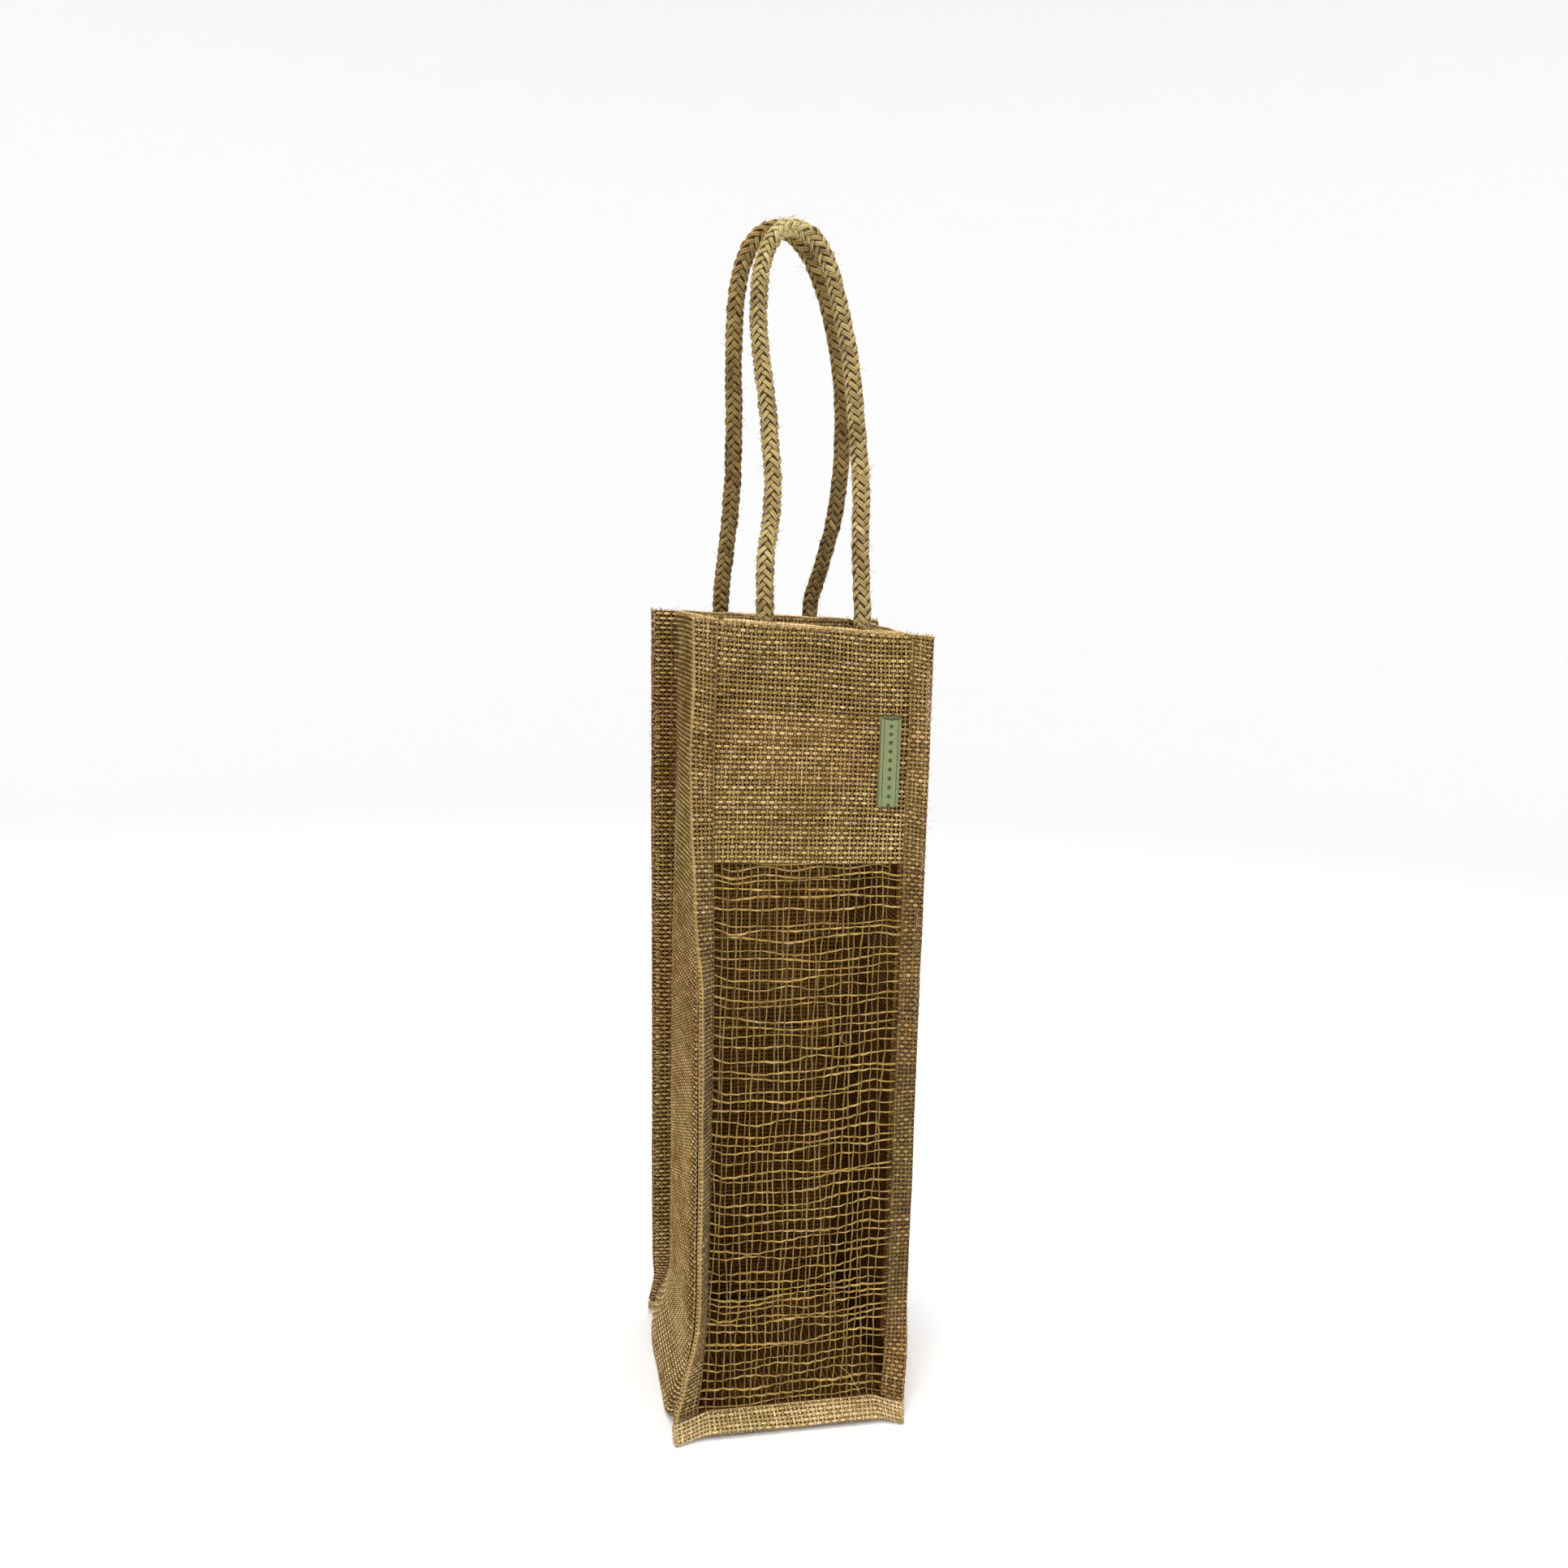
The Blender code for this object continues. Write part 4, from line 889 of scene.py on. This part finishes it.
for face in (front, back):
    name = faceNames[face] + "_handle"
    line, finish, below = ropeLines[face], ropeFinishes[face], rope["below"]
    tufts = ropeHairs(line, rope["hairs"])
    frayed = []
    if face == front:  # frayed places: one on the right leg and the worn top
        onLeg = np.argmin(np.abs(line[:, 2] - rope["frayedAt"]) + (line[:, 0] < 0))
        for count, spot in zip(rope["frayedHairs"], (onLeg, wornSpot)):
            frayed += ropeHairs(line, count, near=spot)
    radii = taper(tufts, 0.4) + [rope["fray"] * radius for radius in taper(frayed, 0.3)]
    fuzz = makeYarns(name + "_fibres", tufts + frayed, rope["hair"], looseYarnFinish, name,
                     radii=radii)
    # the loop turns by more than a half turn, so it is split from its tails at the rim: each has a round end
    # there, hidden in the other while the loop stands, and the two ends meet when it hangs down
    mesh = braidMesh(name + "_rope", line, face, (below, below))
    loop = finishMesh(name + "_rope", mesh, [finish], name, name + "_loop")
    line[::4].tolist() + [line[-1].tolist()]
    for side, x in legs[face].items():
        ends = [(x, face * (halfDepth + ropeLayer), z) for z in (rimHeight - rope["tail"], rimHeight + below)]
        tailName = name + "_" + sideNames[side] + "_tail"
        tailLine = evenly(np.array(ends), rope["step"])
        mesh = braidMesh(tailName + "_rope", tailLine, face, (0, below), slim=rope["tailSlim"])
        finishMesh(tailName + "_rope", mesh, [finish], "bag", tailName)
    print(name, "made")

# hem facings, with a pocket for each rope end
facing = {**binding, "relief": 0.0002, "wall": 0.0004}
pocket = {"depth": rope["diameter"] + 1.5 * bag["gap"], "half": 0.013, "inset": 0.001}
hemRows = np.linspace(rimHeight - bag["hem"], rimHeight, 12)


def facingNet(face):
    reach = halfWidth - pocket["inset"]
    x, z = np.meshgrid(np.linspace(-reach, reach, 60), hemRows)
    points = stand(np.stack([x, np.full_like(x, face * (halfDepth + facingLayer)), z], -1))
    bulge = np.zeros_like(x)
    for leg in legs[face].values():
        near = np.minimum(np.abs(points[..., 0] - leg) / pocket["half"], 1)
        bulge = np.maximum(bulge, pocket["depth"] * np.cos(near * math.pi / 2) ** 2)
    points[..., 1] -= face * bulge
    return points


for face in (front, back):
    net = facingNet(face)
    main, inside = [shadedFinish, facingFinish][::-face]  # the side that lies on the panel is in shade
    name = faceNames[face] + "_hem"
    makeCloth(name + "_cloth", net, hemRows, lengthsOf(net[5]), {**facing, "inside": inside}, main,
              name + "_facing")
for side in (left, right):
    reach = halfDepth - pocket["inset"] - bag["cloth"]
    y, z = np.meshgrid(np.linspace(-reach, reach, 40), hemRows)
    out = bag["bulge"] * ease(2 * (1 - z / rimHeight))
    edge = np.minimum((halfDepth - np.abs(y)) / bag["depth"] / bag["webEdge"], 1)
    x = side * (halfWidth - stripLayer - bag["cloth"] - bag["gap"] + out * np.sin(math.pi / 2 * edge))
    net = stand(np.stack([x, y, z], -1))
    name = sideNames[side] + "_hem"
    makeCloth(name + "_cloth", net, hemRows, lengthsOf(net[5]), facing, facingFinish, name + "_facing")
print("facings made")

window = {"uprights": 26, "levels": 60, "uprightYarn": 0.00058, "levelYarn": 0.00072, "weave": 0.00044,
          "sag": 0.0022, "drift": 0.0013, "slope": 0.0012, "inset": 0.003, "tuck": 0.0026, "reach": 0.0044,
          "below": 0.0030, "above": 0.008, "shift": 0.0003, "uprightStep": 0.0014, "levelStep": 0.0011,
          "sagStart": 0.05}


def windowNet():
    reach = halfWidth + window["reach"]
    bottom, top = bag["lift"] - window["below"], bag["windowTop"] + window["above"]
    inner = halfWidth - window["inset"]
    uprightAt = np.linspace(-inner, inner, window["uprights"])
    uprightAt = uprightAt + dice.uniform(-1, 1, window["uprights"]) * window["shift"]
    gaps = dice.uniform(0.55, 1.45, window["levels"] + 1)
    gaps[-8:] *= 0.75  # the last rows lie closer together
    levelAt = (bottom + (top - bottom) * np.cumsum(gaps) / gaps.sum())[:-1]
    uprights, levels, uprightRadii, levelRadii = [], [], [], []
    for number, x in enumerate(uprightAt):
        z = np.arange(bottom, top, window["uprightStep"])
        drift = sway(len(z), 9) * window["drift"] * 0.8
        place = np.interp(z, levelAt, np.arange(window["levels"]))
        layer = panelLayer + window["weave"] * np.cos(math.pi * (place + number))
        tuck = ease((z - bag["windowTop"] + window["tuck"]) / 0.002)
        uprights.append(onCloth(front, x + drift * (1 - tuck), z, mix(layer, facingLayer, tuck)))
        uprightRadii.append(1 + 0.35 * sway(len(z), 22))
    for number, z in enumerate(levelAt):
        x = np.arange(-reach, reach, window["levelStep"])
        share = np.abs(x) / halfWidth
        inWindow = np.clip((1 - share) * 6, 0, 1)
        sag = -window["sag"] * np.clip(1 - share ** 2, 0, 1)
        for fromEdge in (bag["windowTop"] - z, z - bag["lift"]):
            sag = sag * ease(fromEdge / window["sagStart"])
        sag = sag + window["slope"] * x / halfWidth * inWindow
        drift = sway(len(x), 7) * window["drift"] * inWindow
        place = np.interp(x, uprightAt, np.arange(window["uprights"]))
        layer = panelLayer - window["weave"] * np.cos(math.pi * (place + number)) * inWindow
        if z > bag["windowTop"] - window["tuck"]:
            x, layer = np.clip(x, -inner, inner), facingLayer
        levels.append(onCloth(front, x, z + sag + drift, layer))
        levelRadii.append(dice.uniform(0.75, 1.2) * (1 + 0.4 * sway(len(x), 12)))
    makeYarns("net_upright_yarns", uprights, window["uprightYarn"], uprightYarnFinish,
              node="front_window_net", bevels=1, radii=uprightRadii)
    makeYarns("net_level_yarns", levels, window["levelYarn"], levelYarnFinish,
              node="front_window_net", bevels=1, radii=levelRadii)


windowNet()
print("window net made")

tab = {
    "length": 0.039, "width": 0.0093, "drop": 0.039, "rootInset": 0.0007, "thickness": 0.0004,
    "opening": 0.0014, "rootOpening": 0.0007, "droop": 0.0013, "wave": 0.00012,
    "look": {"ribs": 20.0, "middle": 4.6, "lineAt": 3.1, "lineWidth": 0.16, "repeat": 3.9, "diamond": 1.15,
             # inside: painted shade for the loop's back leaf
             "ink": (0.030, 0.065, 0.020), "inside": (0.09, 0.105, 0.045),
             "colours": ((0.25, (0.14, 0.16, 0.065)), (0.55, (0.215, 0.245, 0.105)),
                         (0.85, (0.33, 0.36, 0.17)))},
}


def makeTab():
    layer = panelLayer + bag["cloth"] / 2 + bag["gap"] + tab["thickness"] / 2
    root = halfWidth - tab["rootInset"]
    radius = tab["opening"] / 2
    foldX = root - tab["width"] + radius + tab["thickness"] / 2
    leaf = (0, 0.25, 0.5, 0.75, 1)
    angles = [math.pi * step / 8 for step in range(1, 8)]
    outline = [(mix(root, foldX, share), layer) for share in leaf]
    outline += [(foldX - radius * math.sin(angle), layer + radius - radius * math.cos(angle))
                for angle in angles]
    outline += [(mix(foldX, root, share), layer + mix(tab["opening"], tab["rootOpening"], share ** 1.5))
                for share in leaf]
    outline = np.array(outline)
    top = rimHeight - tab["drop"]
    z = np.linspace(top - tab["length"], top, 40)
    run = lengthsOf(outline) * 1000
    points = np.zeros((len(z), len(outline), 3))
    points[..., 0] = outline[:, 0]
    points[..., 1] = -(halfDepth + outline[:, 1])
    points[..., 2] = z[:, None]
    points[:, 12:, 1] -= (np.sin(np.linspace(0, math.pi, len(z))) * tab["wave"])[:, None]
    spots = np.arange(len(outline))
    loose = np.clip((spots - 8) / 4, 0, 1)[None, :]
    height = ((z - z[0]) / tab["length"])[:, None]
    points[..., 2] -= tab["droop"] * loose * height ** 6 * (1 + 0.4 * np.sin(spots)[None, :] * loose)
    places = gridMap(points, np.where(run > run[8], run[-1] - run, run), (z * 1000)[:, None])
    mesh = layGrid("ribbon_tab", points, places, rise=gridMap(points, 1 - loose, 1 - loose))
    finish = ribbonFinish(tab["look"])
    piece = finishMesh("ribbon_tab", mesh, [finish], "label_flap", "label_tab")
    addWall(piece, tab["thickness"])


makeTab()
print("tab made")

roll = {"half": (0.00054, 0.00066), "sides": 10, "step": 0.0009, "uneven": 0.32, "sag": 0.0002}


def makeRoll(name, line):  # the cloth's folded top edge
    line = evenly(line, roll["step"])
    wide = unit(np.cross(unit(np.gradient(line, axis=0)), [0, 0, 1.0]))
    ring = np.linspace(0, 2 * math.pi, roll["sides"] + 1)
    size = 1 + roll["uneven"] * ripple(len(line), roll["sides"] + 1, len(line) // 3, 3)
    size[:, -1] = size[:, 0]
    sag = sway(len(line), max(2, len(line) // 12)) * roll["sag"]
    points = line[:, None] + (size * np.cos(ring) * roll["half"][0])[..., None] * wide[:, None]
    points[..., 2] += size * np.sin(ring) * roll["half"][1] + sag[:, None]
    places = gridMap(points, (lengthsOf(line) / weft["across"])[:, None], ring / (2 * math.pi) * 2)
    finishMesh(name, layGrid(name, points, places, tube=True), [rimFinish], "bag")


def stripLine(side, z):  # across one side of the strip at a height
    run = (strip if side < 0 else strip[::-1])[:53]
    heights = run[:, run.shape[1] // 2, 2]
    order = np.argsort(heights)
    return np.stack([readLine(run[order, point], heights[order], z) for point in range(3, run.shape[1] - 3)])


for face in (front, back):
    x = np.linspace(-halfWidth + 0.0004, halfWidth - 0.0004, 90)
    makeRoll(faceNames[face] + "_panel_roll", onCloth(face, x, rimHeight + 0.0001, panelLayer))
    makeRoll(faceNames[face] + "_hem_roll", facingNet(face)[-1] + np.array([0, 0, 0.0003]))
for side in (left, right):
    makeRoll(sideNames[side] + "_side_roll", stripLine(side, rimHeight))
print("rims rolled")

stitch = {"length": 0.0023, "gap": 0.0013, "thread": 0.00045, "high": 0.0001, "sink": 0.0004, "start": 0.0008,
          "inset": 0.0034, "above": 0.0003, "upright": (0.013, 0.3585, 170), "level": (-0.039, 0.039, 80)}


def stitchRow(points, outward):
    run, outward = lengthsOf(points), np.broadcast_to(outward, points.shape)
    lift = mix(-stitch["sink"], stitch["high"], np.sin(np.linspace(0, math.pi, 5)) ** 0.7)
    lines = []
    start = stitch["start"]
    while start + stitch["length"] < run[-1]:
        length = stitch["length"] * dice.uniform(0.75, 1.2)
        places = start + np.linspace(0, min(length, run[-1] - start), 5)
        lines.append(readLine(points, run, places) + readLine(outward, run, places) * lift[:, None])
        start += length + stitch["gap"] * dice.uniform(0.7, 1.4)
    return lines


def onFin(face, side, distance, z, layer, step=0.0004):  # a line up a fin, and the way out of its cloth
    x = side * (halfWidth + distance)
    points = onCloth(face, x, z, layer)
    return points, unit(onCloth(face, x, z, layer + step * math.copysign(1, layer)) - points)


sewn = []
leafTop = leafLayer + bag["binding"] / 2 + stitch["above"]
stripTop = stripLayer - bag["cloth"] / 2 - stitch["above"]
for face in (front, back):
    for side in (left, right):
        for layer in (leafTop, stripTop):
            z = np.linspace(*stitch["upright"])
            sewn += stitchRow(*onFin(face, side, stitch["inset"], z, layer))
    x = np.linspace(*stitch["level"])
    for z, layer in ((bag["lift"] - stitch["inset"], leafTop),
                     (bag["hemSeam"], panelLayer + bag["cloth"] / 2 + stitch["above"])):
        sewn += stitchRow(onCloth(face, x, z, layer), (0, face, 0))
for side in (left, right):
    line = stripLine(side, bag["hemSeam"]) + np.array([side * (bag["cloth"] / 2 + stitch["above"]), 0, 0])
    sewn += stitchRow(line[2:-2], (side, 0, 0))
makeYarns("sewing_thread", sewn, stitch["thread"], stitchFinish)
print(len(sewn), "stitches made")

# each kind of fibre: how many, shortest and longest, and how widely they stand
fibres = {"fin": (90, (0.0006, 0.0022), 0.8), "finEnd": (34, (0.0008, 0.0020), 0.45),
          "finTop": (26, (0.0010, 0.0030), 0.6), "rim": (60, (0.0008, 0.0026), 0.8),
          "bottom": (40, (0.0006, 0.0018), 0.7), "panel": (70, (0.0006, 0.0018), 0.9),
          "thin": 0.00017, "thick": 0.0007, "curl": 0.35}


def hairs(points, outward, kind):  # short fibres that stand off a line
    count, lengths, spreadOut = fibres[kind]
    picks = dice.uniform(0, len(points) - 1.001, count)
    low = picks.astype(int)
    part = (picks - low)[:, None]
    roots = points[low] * (1 - part) + points[low + 1] * part
    away = unit(np.broadcast_to(outward, points.shape)[low] + dice.normal(0, spreadOut, (count, 3)))
    bend = unit(dice.normal(0, 1, (count, 3)))
    reach = dice.uniform(*lengths, count)
    share = np.linspace(0, 1, 4)[:, None]
    return [root + way * length * share + turn * length * fibres["curl"] * share ** 2
            for root, way, turn, length in zip(roots, away, bend, reach)]


fine, coarse = [], []
for face in (front, back):
    for side in (left, right):
        z = np.linspace(0.010, 0.359, 120)
        rim, inner = (onCloth(face, side * (halfWidth + bag["fin"] - inset), z, leafLayer / 2)
                      for inset in (0, 0.003))
        fine += hairs(rim, unit(rim - inner), "fin")
        top = onCloth(face, side * (halfWidth + np.linspace(0.0006, bag["fin"], 20)), rimHeight - 0.0004,
                      np.linspace(0.0, leafLayer, 20))
        coarse += hairs(top, (0, 0, 1), "finEnd")
        fine += hairs(top, (0, 0, 1), "finTop")
        within, edge = (onFin(face, side, distance, np.arange(0.016, 0.355, 0.0021), stripLayer - 0.0001)[0]
                        for distance in (bag["fin"] - 0.005, bag["fin"] - bag["rawInset"]))
        for start, end in zip(within, edge):  # the strip's cut threads
            way = unit(end - start)
            shift = np.array([0, 0, dice.uniform(-0.0006, 0.0006)])
            reach = dice.uniform(0.0006, 0.0016)
            coarse.append(np.stack([end - way * 0.0016 + shift, end + shift, end + way * reach + shift * 2]))
    x = np.linspace(-0.039, 0.039, 40)
    fine += hairs(onCloth(face, x, rimHeight + 0.0006, panelLayer), (0, 0, 1), "rim")
    fine += hairs(onCloth(face, x, bag["lift"] - bag["fin"], leafLayer / 2), (0, face, -0.2), "bottom")
    x, z = dice.uniform(-0.038, 0.038, 150), dice.uniform(0.262, 0.357, 150)
    fine += hairs(onCloth(face, x, z, panelLayer + 0.0006), (0, face, 0), "panel")
stray = np.array([(0.0231, -0.0500, 0.0255), (0.0262, -0.0530, 0.0235), (0.0290, -0.0548, 0.0190),
                  (0.0318, -0.0570, 0.0140), (0.0359, -0.0585, 0.0040)])  # a long one, low on the window
fine.append(readAlong(stray, np.arange(5.0), np.linspace(0, 4, 16)))
spin = np.linspace(0, 1.6 * math.pi, 14)
curl = [0.0203 + 0.0022 * np.cos(spin), -0.0488 - 0.0006 * spin / 5, 0.1797 + 0.0026 * np.sin(spin)]
fine.append(np.stack(curl, -1))
fine = [line for line in fine if line[:, 2].min() > 0.0004]
thick = [radii * (2.2 if len(radii) > 10 else 1) for radii in taper(fine)]
makeYarns("loose_fibres", fine, fibres["thin"], looseYarnFinish, radii=thick)
makeYarns("cut_thread_ends", coarse, fibres["thick"], looseYarnFinish, radii=taper(coarse))
print(len(fine), "fibres and", len(coarse), "cut ends made")

studio = {"radius": 2.6, "cove": 0.9, "wall": 2.4, "floor": (0.92, 0.92, 0.92), "world": (0.99, 0.99, 1.0),
          "worldStrength": 0.64, "aim": (0, 0, 0.25)}


def makeStudio():
    shape = bmesh.new()
    last = shape.verts.new((0, 0, 0))
    edges = []
    ring = [(studio["radius"] - studio["cove"] + studio["cove"] * math.sin(angle),
             studio["cove"] * (1 - math.cos(angle))) for angle in np.linspace(0, math.pi / 2, 16)]
    for out, up in ring + [(studio["radius"], studio["wall"])]:
        point = shape.verts.new((out, 0, up))
        edges.append(shape.edges.new((last, point)))
        last = point
    bmesh.ops.spin(shape, geom=list(shape.verts) + edges, cent=(0, 0, 0), axis=(0, 0, 1),
                   angle=2 * math.pi, steps=96, use_merge=True)
    bmesh.ops.remove_doubles(shape, verts=shape.verts, dist=1e-5)
    bmesh.ops.recalc_face_normals(shape, faces=shape.faces)
    if sum(face.normal.z for face in shape.faces) < 0:
        bmesh.ops.reverse_faces(shape, faces=shape.faces)
    mesh = toMesh(shape, "studio_floor")
    mesh.shade_smooth()
    finish, _, shader = startFinish("studio_floor", 0.9, 0.0)
    shader.inputs["Base Color"].default_value = (*studio["floor"], 1)
    mesh.materials.append(finish)
    addObject("studio_floor", mesh)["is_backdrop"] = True
    world = bpy.data.worlds.new("studio_world")
    world.use_nodes = True
    light = world.node_tree.nodes["Background"]
    light.inputs[0].default_value = (*studio["world"], 1)
    light.inputs[1].default_value = studio["worldStrength"]
    bpy.context.scene.world = world
    bpy.context.scene.view_settings.view_transform = "Standard"


lamps = {
    "key": {"place": (-0.7, -1.5, 1.9), "size": 1.0, "power": 19, "colour": (1.0, 0.98, 0.95)},
    "fill": {"place": (1.5, -1.2, 0.9), "size": 1.6, "power": 3, "colour": (0.97, 0.98, 1.0)},
    "top": {"place": (-0.1, -0.2, 2.1), "size": 1.0, "power": 24, "colour": (1.0, 1.0, 1.0)},
}


def makeLamps():
    for name, lamp in lamps.items():
        light = bpy.data.lights.new(name, "AREA")
        light.shape = "DISK"
        light.size = lamp["size"]
        light.energy = lamp["power"]
        light.color = lamp["colour"]
        holder = addObject(name, light)
        holder.location = lamp["place"]
        aim = Vector(studio["aim"]) - Vector(lamp["place"])
        holder.rotation_euler = aim.to_track_quat("-Z", "Y").to_euler()


makeStudio()
makeLamps()
print("studio made")

low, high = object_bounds()
